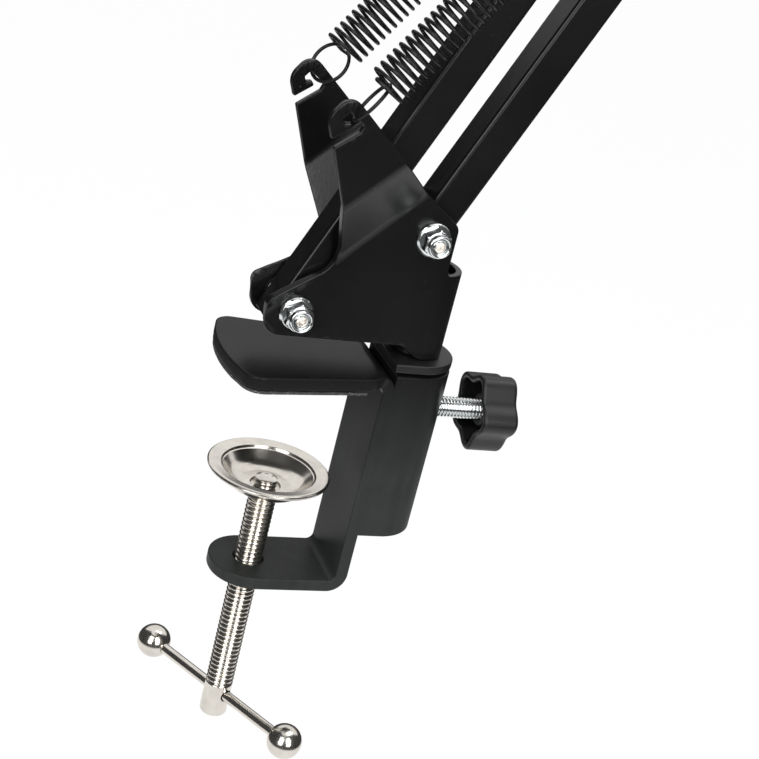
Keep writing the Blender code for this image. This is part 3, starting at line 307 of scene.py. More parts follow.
DULL_COAT, CUT = clamp_coat(), cut_end()
SLOTS = {
    "black_powder_coat": powder_coat(), "nickel": nickel(), "bright_zinc": zinc(), "black_plastic": moulded(),
    "grip_pad": pad_rubber(), "spring_wire": spring_steel(), "nylon": nylon(),
}


def mesh_of(name, made):
    """Welded mesh in metres from points in millimetres and faces, with its faces outward."""
    points, faces = made
    mesh = bpy.data.meshes.new(name)
    faces = faces if isinstance(faces, list) else faces.tolist()
    mesh.from_pydata((np.asarray(points) * MM).tolist(), [], faces)
    shell = bmesh.new()
    shell.from_mesh(mesh)
    bmesh.ops.remove_doubles(shell, verts=shell.verts, dist=2e-7)
    bmesh.ops.dissolve_degenerate(shell, dist=1e-8, edges=shell.edges)
    bmesh.ops.recalc_face_normals(shell, faces=shell.faces)
    shell.to_mesh(mesh)
    shell.free()
    return mesh


def piece(name, made, slot, body, node, crisp=40, drills=(), finish=None):
    """A finished piece that rides on a body and shows a node; its flats stay flat between rounded edges."""
    obj = bpy.data.objects.new(name, mesh_of(name, made))
    bpy.context.collection.objects.link(obj)
    for tool in drills:
        drill(obj, tool)
    obj.data.shade_smooth()
    obj.data.set_sharp_from_angle(angle=radians(crisp))
    obj.data.materials.append(finish or SLOTS[slot])
    even = obj.modifiers.new("even_flats", "WEIGHTED_NORMAL")
    even.keep_sharp = True
    if body:
        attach(obj, body)
    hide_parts(node)
    return obj


def drill(obj, made):
    """Takes a solid's shape out of a piece for good."""
    tool = bpy.data.objects.new("drill", mesh_of("drill", made))
    bpy.context.collection.objects.link(tool)
    boolean = obj.modifiers.new("drill", "BOOLEAN")
    boolean.operation, boolean.solver, boolean.object = "DIFFERENCE", "EXACT", tool
    with bpy.context.temp_override(object=obj, active_object=obj, selected_objects=[obj]):
        bpy.ops.object.modifier_apply(modifier="drill")
    bpy.data.objects.remove(tool, do_unlink=True)


def place(points, origin=(0, 0, 0), turn=UP):
    """Points turned and then moved."""
    return np.reshape(points, (-1, 3)) @ turn.T + origin


def weave(rows, columns, wrap_rows=False, wrap_columns=True, offset=0):
    """Quads between neighbours of a grid of points, with either direction closed on itself."""
    i = np.arange(rows if wrap_rows else rows - 1)[:, None]
    j = np.arange(columns if wrap_columns else columns - 1)[None, :]
    a = i * columns + j
    b = i * columns + (j + 1) % columns
    c = ((i + 1) % rows) * columns + (j + 1) % columns
    d = ((i + 1) % rows) * columns + j
    return np.stack([a, b, c, d], -1).reshape(-1, 4) + offset


def soften(corners, radius=0.4, count=5, closed=False):
    """Line whose corners become arcs: each corner is (u, v) or (u, v, radius), and the ends stay."""
    points = [np.array(c[:2], float) for c in corners]
    out, last = [], len(points) - 1
    for k, here in enumerate(points):
        r = corners[k][2] if len(corners[k]) > 2 else radius
        if r == 0 or (not closed and k in (0, last)):
            out.append(here[None])
            continue
        back, ahead = points[k - 1] - here, points[(k + 1) % len(points)] - here
        lb, la = np.linalg.norm(back), np.linalg.norm(ahead)
        back, ahead = back / lb, ahead / la
        half = acos(np.clip(back @ ahead, -1, 1)) / 2
        if half > pi / 2 - 0.02:
            out.append(here[None])
            continue
        reach = min(r / tan(half), 0.49 * lb, 0.49 * la)
        r = reach * tan(half)
        centre = here + (back + ahead) / np.linalg.norm(back + ahead) * r / sin(half)
        first = here + back * reach - centre
        side = 1 if back[0] * ahead[1] - back[1] * ahead[0] < 0 else -1
        a = side * np.linspace(0, pi - 2 * half, max(2, count))
        c, s = np.cos(a), np.sin(a)
        out.append(centre + np.stack([first[0] * c - first[1] * s, first[0] * s + first[1] * c], -1))
    return np.concatenate(out)


def around(count):
    """Angles of even steps once round."""
    return np.linspace(0, 2 * pi, count, endpoint=False)


def turned(profile, steps=64, origin=(0, 0, 0), turn=UP, section=None, bored=False):
    """Surface of a profile (radius, height) about an axis: x = r cos a, y = r sin a, z = height.

    section(a, r, h) may change the radius round the axis. A bored piece closes its profile.
    """
    profile = np.asarray(profile, float)
    a = around(steps)[None]
    r, h = profile[:, :1] + 0 * a, profile[:, 1:2] + 0 * a
    if section is not None:
        r = section(a + 0 * r, r, h)
    points = np.stack([r * np.cos(a), r * np.sin(a), h], -1)
    return place(points, origin, turn), weave(len(profile), steps, bored)


def rod(radius, low, high, origin=(0, 0, 0), turn=UP, steps=48):
    """Plain cylinder between two heights on an axis."""
    return turned([(0, low), (radius, low), (radius, high), (0, high)], steps, origin, turn)


def hexagon(across, low, high):
    """Section that keeps a radius within a hexagon's flats between two heights."""
    flats = lambda a: across / 2 / np.cos((a + pi / 6) % (pi / 3) - pi / 6)
    return lambda a, r, h: np.where((h > low) & (h < high), np.minimum(r, flats(a)), r)


def thread(radius, depth, pitch, low, high, origin=(0, 0, 0), turn=UP, columns=48):
    """Screw thread about an axis: r = R - depth V(p), with p = height / pitch - a / 2 pi.

    V is 1 less half a sine, so crests are round and roots are sharp, as on a rolled thread. Each row climbs
    with the helix, so crest and root are unbroken, and a cone as deep as the thread ends it on both sides.
    """
    phase = np.linspace(0, 1, 8, endpoint=False)
    drop = 1 - np.sin(pi * phase)
    turns = ceil((high - low) / pitch) + 1
    k = (np.arange(-1, turns + 1)[:, None] + phase[None]).reshape(-1, 1)
    v = np.tile(drop, turns + 2)[:, None]
    a = np.linspace(0, 2 * pi, columns + 1)[None, :]
    z = np.clip(low + pitch * (k + a / (2 * pi)), low, high)
    cone = radius - depth + np.minimum(z - low, high - z)
    r = np.minimum(radius - depth * v + 0 * a, cone)
    end = np.zeros((1, columns + 1))
    r = np.concatenate([end, r, end])
    z = np.concatenate([end + low, z, end + high])
    a = a + 0 * r
    points = np.stack([r * np.cos(a), r * np.sin(a), z], -1)
    return place(points, origin, turn), weave(len(r), columns + 1, wrap_columns=False)


def wire(path, outward, radius, sides=8):
    """Round wire along a path: a ring across it at each point, counted from the outward direction."""
    along = np.gradient(path, axis=0)
    along /= np.linalg.norm(along, axis=1)[:, None]
    across = outward - along * np.sum(outward * along, 1)[:, None]
    across /= np.linalg.norm(across, axis=1)[:, None]
    other = np.cross(along, across)
    a = around(sides)[None, :, None]
    rings = path[:, None] + radius * (np.cos(a) * across[:, None] + np.sin(a) * other[:, None])
    ends = np.repeat(path[[0, -1]][:, None], sides, 1)
    points = np.concatenate([ends[:1], rings, ends[1:]])
    return points.reshape(-1, 3), weave(len(points), sides)


def circle(centre, radius, count=48):
    """Loop of a circle in a blank's plane."""
    a = around(count)
    return np.stack([centre[0] + radius * np.cos(a), centre[1] + radius * np.sin(a)], -1)


def belt(centres, radius, count=180):
    """Loop of a belt round equal circles: in each direction, the circle that reaches furthest."""
    a = around(count)
    outward = np.stack([np.cos(a), np.sin(a)], -1)
    centres = np.asarray(centres, float)
    return centres[np.argmax(outward @ centres.T, 1)] + radius * outward


def anticlockwise(loop):
    """The loop in anticlockwise order."""
    x, y = loop.T
    return loop if (x * np.roll(y, -1) - y * np.roll(x, -1)).sum() > 0 else loop[::-1]


def inset(loop, distance):
    """Anticlockwise loop moved inward, each point along the middle of its two edges' normals."""
    edge = np.roll(loop, -1, 0) - loop
    edge /= np.linalg.norm(edge, axis=1)[:, None]
    normal = np.stack([-edge[:, 1], edge[:, 0]], -1)
    middle = normal + np.roll(normal, 1, 0)
    return loop + 2 * distance * middle / np.sum(middle * middle, 1)[:, None]


def inside(points, loop):
    """True where a point lies inside a loop: a ray crosses its edges an odd number of times."""
    x, y = points[:, :1], points[:, 1:2]
    a, b = loop, np.roll(loop, -1, 0)
    crosses = (a[:, 1] > y) != (b[:, 1] > y)
    slope = (b[:, 0] - a[:, 0]) / np.where(a[:, 1] == b[:, 1], 1, b[:, 1] - a[:, 1])
    return (crosses & (x < a[:, 0] + (y - a[:, 1]) * slope)).sum(1) % 2 == 1


def resample(loop, step):
    """Loop with extra points on its long edges."""
    ahead = np.roll(loop, -1, 0)
    parts = np.maximum(1, np.ceil(np.linalg.norm(ahead - loop, axis=1) / step)).astype(int)
    share = (np.arange(parts.sum()) - np.repeat(np.cumsum(parts) - parts, parts)) / np.repeat(parts, parts)
    return np.repeat(loop, parts, 0) + np.repeat(ahead - loop, parts, 0) * share[:, None]


def lattice(xs, ys):
    """Grid points of two lists of coordinates."""
    return np.stack(np.meshgrid(xs, ys), -1).reshape(-1, 2)


def sheet(outline, holes, thickness, edge, fold, grid, step=1.5):
    """Closed sheet: each loop carried through a rounded rim, and two faces that fill the rims.

    The rim has a quarter circle on each side: inward e (1 - sin a), height T/2 - e + e cos a.
    fold(flat points, heights) gives their places in space.
    """
    a = np.linspace(0, pi / 2, 5)
    ins, ups = edge * (1 - np.sin(a)), thickness / 2 - edge + edge * np.cos(a)
    ins, ups = np.concatenate([ins, ins[::-1]]), np.concatenate([ups, -ups[::-1]])
    loops = [(resample(anticlockwise(outline), step), 1)] + [(anticlockwise(h), -1) for h in holes]
    points, faces, rims, count = [], [], [], 0
    for loop, sign in loops:
        rings = np.stack([inset(loop, sign * d) for d in ins])
        rims.append(rings[0])
        points.append(fold(rings.reshape(-1, 2), np.repeat(ups, len(loop))))
        faces += weave(len(ins), len(loop), offset=count).tolist()
        count += len(points[-1])
    bores = lambda spots: np.any([inside(spots, r) for r in rims[1:]] or [[False]], 0)
    solid = lambda spots: inside(spots, rims[0]) & ~bores(spots)
    border = np.concatenate(rims)
    grid = grid[solid(grid)]
    apart = np.sqrt(((grid[:, None] - border[None]) ** 2).sum(-1)).min(1) if len(grid) else np.zeros(0)
    flat = np.concatenate([border, grid[apart > 0.3 * step]])
    rounds = np.split(np.arange(len(border)), np.cumsum([len(r) for r in rims])[:-1])
    chains = [np.stack([n, np.roll(n, -1)], -1) for n in rounds]
    made = delaunay_2d_cdt([Vector(p) for p in flat], np.concatenate(chains).tolist(), [], 0, 1e-6)
    flat, thirds = np.array([tuple(v) for v in made[0]]), np.array(made[2])
    thirds = thirds[solid(flat[thirds].mean(1))]
    for height in (thickness / 2, -thickness / 2):
        points.append(fold(flat, np.full(len(flat), height)))
        faces += (thirds + count).tolist()
        count += len(flat)
    return np.concatenate(points), faces


def level(z):
    """Fold that keeps a blank flat and level, at a middle height."""
    return lambda flat, h: np.stack([flat[:, 0], flat[:, 1], z + h], -1)


def upright(y):
    """Fold that stands a blank up in an x, z plane, with its middle at a value of y."""
    return lambda flat, h: np.stack([flat[:, 0], y + h, flat[:, 1]], -1)


def jaw_corners(half, x_shift=0.0):
    """Corners of the upper jaw's tip: two rounded corners with a bowed edge between them."""
    bow = lambda y: JAW_TIP_ARC_R - np.sqrt(JAW_TIP_ARC_R**2 - y**2)
    ys = np.linspace(0.55, -0.55, 13) * JAW_TIP_HALF
    x = JAW_TIP_X + bow(JAW_TIP_HALF) + x_shift
    middle = [(JAW_TIP_X + bow(y) + x_shift, y, 0) for y in ys]
    return [(x, half, JAW_CORNER_R), *middle, (x, -half, JAW_CORNER_R)]


BEND_MID_R = BEND_R + STRIP_T / 2
FIRST = UPRIGHT_X - BEND_R
DOWN = FIRST + BEND_MID_R * pi / 2
SECOND = DOWN + JAW_MID_Z - LOWER_MID_Z - 2 * BEND_MID_R
BACK = SECOND + BEND_MID_R * pi / 2
SHOULDER_X = FIRST - JAW_SHOULDER / 2


def fold_strip(flat, h):
    """The strip's two bends: its middle line runs on by the sines and cosines of its two turns."""
    s, y = flat.T
    a = np.clip((s - FIRST) / BEND_MID_R, 0, pi / 2)
    b = np.clip((s - SECOND) / BEND_MID_R, 0, pi / 2)
    r = BEND_MID_R
    x = np.minimum(s, FIRST) + r * np.sin(a) - r * (1 - np.cos(b)) - np.maximum(s - BACK, 0)
    z = JAW_MID_Z - r * (1 - np.cos(a)) - np.clip(s - DOWN, 0, SECOND - DOWN) - r * np.sin(b)
    return np.stack([x + h * np.sin(a + b), y, z + h * np.cos(a + b)], -1)


def post_block(name, front, z, deep, rim, slot, node, **more):
    """Block round the post: flat in front, half round behind, with the post's bore through it."""
    half = STRIP_HALF - 0.02
    back = [(POST_X + half * cos(t), half * sin(t), 0) for t in np.linspace(-pi / 2, pi / 2, 40)]
    outline = soften([(front, -half, 0.4), *back, (front, half, 0.4)], count=6, closed=True)
    bore = circle((POST_X, 0), POST_R + GAP)
    made = sheet(outline, [bore], deep, rim, level(z), np.zeros((0, 2)), 1.0)
    piece(name, made, slot, "clamp", node, **more)


def clamp():
    """Clamp frame, its pad, the socket behind it and the socket's bush."""
    end = BACK + FIRST - LOWER_END_X
    half = STRIP_HALF
    outline = soften(
        jaw_corners(JAW_SIDE_HALF)
        + [(SHOULDER_X, -JAW_ROOT_HALF, 3), (SHOULDER_X + JAW_SHOULDER, -half, 3),
           (end, -half, half * 0.97), (end, half, half * 0.97),
           (SHOULDER_X + JAW_SHOULDER, half, 3), (SHOULDER_X, JAW_ROOT_HALF, 3)],
        count=14, closed=True,
    )
    bends = [np.linspace(FIRST, DOWN, 12), np.linspace(SECOND, BACK, 12)]
    xs = np.concatenate([np.arange(-20, 19, 3.0), *bends, np.arange(DOWN + 3, SECOND - 1, 4.0),
                         np.arange(BACK + 2, end, 3.0)])
    grid = lattice(xs, np.arange(-18, 18.1, 3.0))
    hole = circle((BACK + FIRST, 0), SCREW_R + GAP)
    strip = sheet(outline, [hole], STRIP_T, 0.5, fold_strip, grid, 0.55)
    piece("clamp_strip", strip, "black_powder_coat", "clamp", "clamp_frame", finish=DULL_COAT)

    root = FIRST - JAW_SHOULDER
    scale = 1 - PAD_INSET / JAW_TIP_HALF
    tip = jaw_corners(JAW_SIDE_HALF * scale, PAD_INSET)
    share = (SHOULDER_X - root) / (SHOULDER_X - tip[0][0])
    y = JAW_ROOT_HALF + share * (JAW_SIDE_HALF - JAW_ROOT_HALF)
    outline = soften(tip + [(root + PAD_INSET, -y * scale, 0.5), (root + PAD_INSET, y * scale, 0.5)],
                     count=10, closed=True)
    grid = lattice(np.arange(-20, 16, 4.0), np.arange(-18, 18, 4.0))
    piece("jaw_pad_sheet", sheet(outline, [], PAD_T, 0.15, level(PAD_T / 2), grid),
          "grip_pad", "clamp", "jaw_pad")

    bore = rod(LOCK_R + 0.2, 0, 14, (POST_X, 0, LOCK_Z), SIDEWARD, 40)
    post_block("socket_block", UPRIGHT_OUT_X - 0.55, SOCKET_TOP_Z - SOCKET_LENGTH / 2, SOCKET_LENGTH, 0.5,
               "black_powder_coat", "post_socket", drills=[bore], finish=DULL_COAT)
    post_block("bush_flange", UPRIGHT_OUT_X - 1.6, FLANGE_Z + FLANGE_T / 2, FLANGE_T, 0.4,
               "black_plastic", "socket_bush")
    neck = soften([(5.9, 4.8, 0), (7.5, 4.8, 0.2), (7.5, 6.2, 0), (5.9, 6.2, 0)], closed=True)
    piece("bush_neck", turned(neck, 64, (POST_X, 0, 0), bored=True), "black_plastic", "clamp", "socket_bush")


def pressure():
    """Pressed disc, clamp screw with its swaged nub, and the sliding bar with its balls."""
    top, dish = DISC_Z, DISC_Z - DISC_DISH
    over = [(2.8, dish - 0.9, 0), (4.2, dish - 0.9, 0.25), (4.2, dish, 0.3), (9.3, dish + 0.15, 7.0),
            (12.6, top - 1.3, 0.1), (12.9, top - 1.15, 0.1), (13.2, top - 0.4, 0.3), (15.8, top - 0.05, 0.8),
            (16.6, top, 0.3), (17.0, top - 0.35, 0.2)]
    under = [(17.0, top - 0.85, 0.2), (16.6, top - 1.2, 0.3), (13.9, top - 1.7, 0.6), (13.2, top - 2.3, 0.6),
             (9.9, dish - 1.1, 7.0), (4.8, dish - 1.3, 0.3), (4.8, dish - 2.1, 0.3), (2.8, dish - 2.1, 0)]
    disc = turned(soften(over + under, closed=True), 144, bored=True)
    piece("disc_pressing", disc, "nickel", "disc", "pressure_disc")

    low, seam = SCREW_END_Z, SCREW_END_Z + SHANK_LENGTH
    turns = thread(SCREW_R, 0.62, SCREW_PITCH, seam - 0.6, SCREW_TOP_Z, columns=56)
    shank = soften([(0, low), (SCREW_R, low, 0.9), (SCREW_R, seam, 0.5), (0, seam)])
    cross = (0, 0, TOMMY_Z)
    along = np.array(Matrix.Rotation(TOMMY_TURN, 3, "Z")) @ FRONTWARD
    hole = rod(TOMMY_R + GAP, -9, 9, cross, along)
    nub = thread(NUB_R, 0.4, 1.2, dish - 0.6, dish + 1.7, columns=56)
    rim, steps = NUB_R - 0.15, 72
    a = around(steps)[None]
    r = np.concatenate([[0], np.linspace(0.4, rim, 12), [rim, 0]])[:, None]
    burr = np.exp(-(((r - 1.7) / 0.5) ** 2)) * (0.5 + 0.5 * np.cos(np.clip(a - 0.5 * pi, -pi, pi)))
    z = dish + 1.7 + 0.5 - 0.35 * (r / rim) ** 4 + 0.3 * burr
    z[-2:] = dish + 1.5
    r = r + 0 * a
    crown = place(np.stack([r * np.cos(a), r * np.sin(a), z + 0 * a], -1)), weave(len(r), steps)
    neck = rod(2.5, SCREW_TOP_Z - 0.2, dish - 0.4, steps=32)
    for name, made, drills in (("thread", turns, ()), ("end", turned(shank, 96), [hole]), ("nub", nub, ()),
                               ("crown", crown, ()), ("neck", neck, ())):
        piece(f"screw_{name}", made, "nickel", "screw", "clamp_screw", drills=drills)

    tip = TOMMY_HALF - BALL_R + 3
    piece("tommy_rod", rod(TOMMY_R, -tip, tip, cross, along), "nickel", "tommy", "tommy_bar")
    for name, side in (("near", 1), ("far", -1)):
        a = np.linspace(-pi / 2 + 0.33, pi / 2, 40)
        ball = np.stack([BALL_R * np.cos(a), BALL_R * np.sin(a)], -1)
        foot = ball[0, 1]
        ball = np.concatenate([[(0, foot + 1.0), (1.6, foot + 1.0), (1.6, foot)], ball])
        ball = turned(ball * (1, side), 80, place((0, 0, side * TOMMY_HALF), cross, along)[0], along)
        piece(f"ball_{name}", ball, "nickel", "tommy", f"tommy_ball_{name}")


def lobed_knob(k, bore, hub, origin, turn, phase):
    """Hollow five-lobed knob, scaled by k: its wall swells by cos 5a, its hub and floor stay round."""
    wall, length = (KNOB_R - 1.9) * k, KNOB_LENGTH * k
    floor = length - KNOB_FLOOR * k

    def section(a, r, h):
        lobes = np.clip((r / k - 5.6) / 2.2, 0, 1)
        return r + k * KNOB_LOBE * lobes * np.cos(5 * (a - phase))

    profile = soften(
        [(0, floor - 0.2), (bore, floor - 0.2, 0), (bore, floor - hub, 0.2), (4.7 * k, floor - hub, 0.4),
         (4.9 * k, floor, 0.6), (wall - 0.3, floor, 0.8), (wall, 0, 0.7), (KNOB_R * k, 0, 0.8),
         (KNOB_R * k, length, 1.3), (7.2 * k, length, 0.6), (0, length)],
        count=7)
    return turned(profile, 180, origin, turn, section)


def lock():
    """Lock bolt and its knob."""
    bolt = thread(LOCK_R, 0.45, 1.0, LOCK_TIP_X, LOCK_END_X - 0.6, (0, 0, LOCK_Z), SIDEWARD)
    piece("lock_thread", bolt, "bright_zinc", "lock", "lock_bolt")
    knob = lobed_knob(1.0, LOCK_R + 0.1, 4.2, (KNOB_X, 0, LOCK_Z), SIDEWARD, radians(52))
    piece("lobed_knob", knob, "black_plastic", "lock", "lock_knob")


def by_hook(side, up, radius):
    """Corner of the ear's outline, measured from the hook's seat across and along the spring."""
    x = HOOK_SEAT[0] + side * cos(HOOK_LEAN) + up * sin(HOOK_LEAN)
    return x, HOOK_SEAT[2] - side * sin(HOOK_LEAN) + up * cos(HOOK_LEAN), radius


def bracket_sheet():
    """Outline and holes of the whole bracket, unrolled round the post: one side and its mirror image."""
    low, top = WRAP_Z + 3.6, WRAP_Z + WRAP_HEIGHT
    hooked = [by_hook(*corner) for corner in (
        (-5.5, 5.0, 5.0), (-5.5, -3.4, 4.5), (-0.8, -6.4, 0.5), (1.0, -0.6, 0.45), (-0.35, -0.2, 0.35),
        (-1.45, -1.35, 0.4), (-2.55, -0.75, 0.6), (-2.35, 1.4, 0.35), (2.7, 1.5, 0.8), (3.2, -0.3, 0.9),
        (1.2, -7.3, 0.6),
    )]
    side = soften(
        [(SEAM, top, 0), (REAR[0] + 6.6, top, 1.2), (REAR[0] + 6.6, REAR[2] + 3.8, 3.0),
         (REAR[0] - 5.0, REAR[2] + 12.4, 20.0), *hooked,
         (FRONT[0] + 9.0, FRONT[2] + 14.8, 7.0), (FRONT[0] - 8.4, FRONT[2] + 3.2, 3.0),
         (FRONT[0] - 8.0, low, 6.0), (POST_X - 6.5, low, 4.0), (POST_X - 1.5, WRAP_Z, 4.0),
         (SEAM, WRAP_Z, 0)],
        count=9)
    mirror = (side * (-1, 1) + (2 * SEAM, 0))[::-1][1:-1]
    holes = [circle((p[0], p[2]), BOLT_HOLE_R, 32) for p in (FRONT, REAR)]
    holes += [h * (-1, 1) + (2 * SEAM, 0) for h in holes]
    return np.concatenate([side, mirror]), holes


def fold_bracket(flat, h):
    """Each side is flat, then steps out between two slanting bends; the middle wraps round the post.

    The outer face lies at y = -(half width + offset), and the offset grows evenly between the bends.
    """
    far = flat[:, 0] > SEAM
    u = np.where(far, 2 * SEAM - flat[:, 0], flat[:, 0])
    z = flat[:, 1]
    q = (z - u) * cos(pi / 4)
    soft = 2 * BEND_SOFT
    ramp = lambda t: np.where(t > BEND_SOFT, t, np.clip(t + BEND_SOFT, 0, soft) ** 2 / (2 * soft))
    steep = lambda t: np.clip((t + BEND_SOFT) / soft, 0, 1)
    slope = EAR_FLARE / (BEND_HIGH - BEND_LOW)
    out = slope * (ramp(q - BEND_LOW) - ramp(q - BEND_HIGH))
    rise = slope * (steep(q - BEND_LOW) - steep(q - BEND_HIGH))
    a = np.maximum(u - POST_X, 0) / PLATE_HALF
    x = np.where(a > 0, POST_X + PLATE_HALF * np.sin(a), u)
    y = np.where(a > 0, -PLATE_HALF * np.cos(a), -PLATE_HALF - out)
    size = np.sqrt(1 + rise**2)
    nx = np.where(a > 0, np.sin(a), cos(pi / 4) * rise / size)
    ny = np.where(a > 0, -np.cos(a), -1 / size)
    nz = np.where(a > 0, 0, -cos(pi / 4) * rise / size)
    d = h - SHEET_T / 2
    mirror = np.where(far, -1, 1)
    return np.stack([x + nx * d, (y + ny * d) * mirror, z + nz * d], -1)


def base():
    """Folded base bracket and the post that it turns on."""
    outline, holes = bracket_sheet()
    c = cos(pi / 4)
    qs = [np.arange(-30, BEND_LOW - 2, 3.0), np.linspace(BEND_LOW + 4, BEND_HIGH - 4, 3),
          np.arange(BEND_HIGH + 4, 75, 3.0)]
    qs = np.concatenate(qs + [np.linspace(bend - 1.6, bend + 1.6, 9) for bend in (BEND_LOW, BEND_HIGH)])
    slant = lattice(qs, np.arange(-20, 90, 2.5)) @ np.array(((-c, c), (c, c)))
    slant = slant[slant[:, 0] < POST_X - 1]
    round_post = lattice(np.linspace(POST_X, SEAM, 15), np.arange(WRAP_Z + 1, WRAP_Z + WRAP_HEIGHT, 3.0))
    half = np.concatenate([slant, round_post])
    grid = np.unique(np.round(np.concatenate([half, half * (-1, 1) + (2 * SEAM, 0)]), 6), axis=0)
    folded = sheet(outline, holes, SHEET_T, SHEET_RIM, fold_bracket, grid, 0.7)
    piece("bracket_sheet", folded, "black_powder_coat", "base", "base_bracket")
    coated = FLANGE_Z + FLANGE_T - 0.8
    post = soften([(0, POST_END_Z), (POST_R, POST_END_Z, 0.8), (POST_R, coated, 0), (0, coated)])
    piece("turning_post", turned(post, 72, (POST_X, 0, 0)), "bright_zinc", "base", "base_post")
    top = WRAP_Z + WRAP_HEIGHT - 1.6
    root = soften([(0, coated - 0.1), (POST_R + 0.03, coated - 0.1, 0), (POST_R + 0.03, WRAP_Z, 0.2),
                   (5.9, WRAP_Z, 0.3), (5.9, top, 0.8), (0, top)])
    piece("post_root", turned(root, 72, (POST_X, 0, 0)), "black_powder_coat", "base", "base_post")


def fastener(prefix, which, spot, body):
    """Flange bolt, nylon-insert flange nut and pivot bush of one pivot."""
    node = f"{prefix}_{which}"
    bolt = f"{node}_bolt"

    def of_bolt(part, made, **more):
        piece(f"{bolt}_{part}", made, "bright_zinc", body, bolt, **more)

    start = PLATE_HALF + 0.05
    above = lambda rows: [(r, start + h, s) for r, h, s in rows]
    nut = soften(above(
        [(2.05, 0, 0), (4.7, 0, 0.15), (4.7, 0.6, 0.3), (4.2, 1.1, 0.3), (4.1, 1.15, 0), (4.1, 3.6, 0),
         (3.5, 4.1, 0.15), (3.12, 4.2, 0.2), (3.12, 5.7, 0.4), (2.3, 5.7, 0.4), (2.25, 4.8, 0.1),
         (2.05, 4.8, 0)]), closed=True)
    flats = hexagon(NUT_ACROSS, start + 1.12, start + 4.15)
    nut = turned(nut, 96, spot, FRONTWARD, flats, bored=True)
    piece(f"{node}_flange_nut", nut, "bright_zinc", body, f"{node}_nut")
    end = start + 5.45
    of_bolt("end", thread(BOLT_R, 0.4, 0.7, start - 0.2, end, spot, FRONTWARD, 32))
    face = soften([(0, end - 0.2), (1.5, end - 0.2, 0), (1.5, end + 0.02, 0.05), (1.1, end + 0.12, 0.4),
                   (0, end + 0.14)])
    of_bolt("face", turned(face, 40, spot, FRONTWARD), finish=CUT)
    of_bolt("shank", rod(BOLT_R, -start, start, spot, FRONTWARD, 32))
    head = soften(above(
        [(0, -0.3, 0), (4.6, -0.3, 0), (4.7, 0.05, 0.1), (4.7, 0.8, 0.25), (4.25, 1.0, 0.2), (4.1, 1.0, 0),
         (4.1, 3.1, 0), (3.6, 3.55, 0.2), (2.6, 3.55, 0.3), (2.2, 3.2, 0.4), (0, 3.2, 0)]))
    of_bolt("head", turned(head, 96, spot, BACKWARD, hexagon(NUT_ACROSS, start + 1.05, start + 3.56)))
    bush = soften([(2.3, -5.9, 0), (4.3, -5.9, 0.2), (4.3, -5.3, 0.1), (2.9, -5.2, 0), (2.9, 5.2, 0),
                   (4.3, 5.3, 0.1), (4.3, 5.9, 0.2), (2.3, 5.9, 0)], closed=True)
    piece(f"{node}_pivot_bush", turned(bush, 48, spot, FRONTWARD, bored=True), "nylon", body, f"{node}_bush")


def square_tube(name, start, direction, body):
    """Square tube with rounded corners: its section (outer and inner) carried along the bar."""
    axes = np.stack([(direction[2], 0, -direction[0]), (0, 1, 0), direction], -1)
    ring = lambda h, r: soften([(h, h, r), (-h, h, r), (-h, -h, r), (h, -h, r)], count=7, closed=True)
    bore, soft = BAR_HALF - BAR_WALL, 0.12
    outer = ring(BAR_HALF, BAR_R)
    mouth = [(ring(bore, 0.5), 0.6), (ring(bore + soft, 0.55), 0), (ring(BAR_HALF - soft, BAR_R), 0),
             (outer, soft)]
    low, high = -BAR_END, ARM + BAR_END
    runs = [(r, low + z) for r, z in mouth] + [(outer, z) for z in np.linspace(low, high, 12)[1:-1]]
    runs += [(r, high - z) for r, z in reversed(mouth)]
    points = np.stack([np.column_stack([r, np.full(len(r), z)]) for r, z in runs])
    made = place(points, start, axes), weave(len(runs), len(outer), True)
    piece(f"{name}_tube", made, "black_powder_coat", body, name)


def pin(name, spot, body):
    """Spring pin: collars beside the bar, a waisted seat for each spring's eye and domed heads."""
    low, high, end = PLATE_HALF + GAP, PLATE_HALF + 1.5, SPRING_Y + 0.8 + 1.2 + 0.6
    half = [(PIN_R, low, 0), (3.3, low, 0.3), (3.3, high, 0.3), (PIN_R, high, 0.3), (PIN_R, end - 1.2, 0.2),
            (3.5, end - 1.2, 0.3), (3.5, end - 0.3, 0.5), (2.2, end, 0.6), (0, end, 0)]
    profile = soften([(r, -h, s) for r, h, s in reversed(half)] + half)
    piece(f"{name}_turned", turned(profile, 64, spot, FRONTWARD), "bright_zinc", body, name)


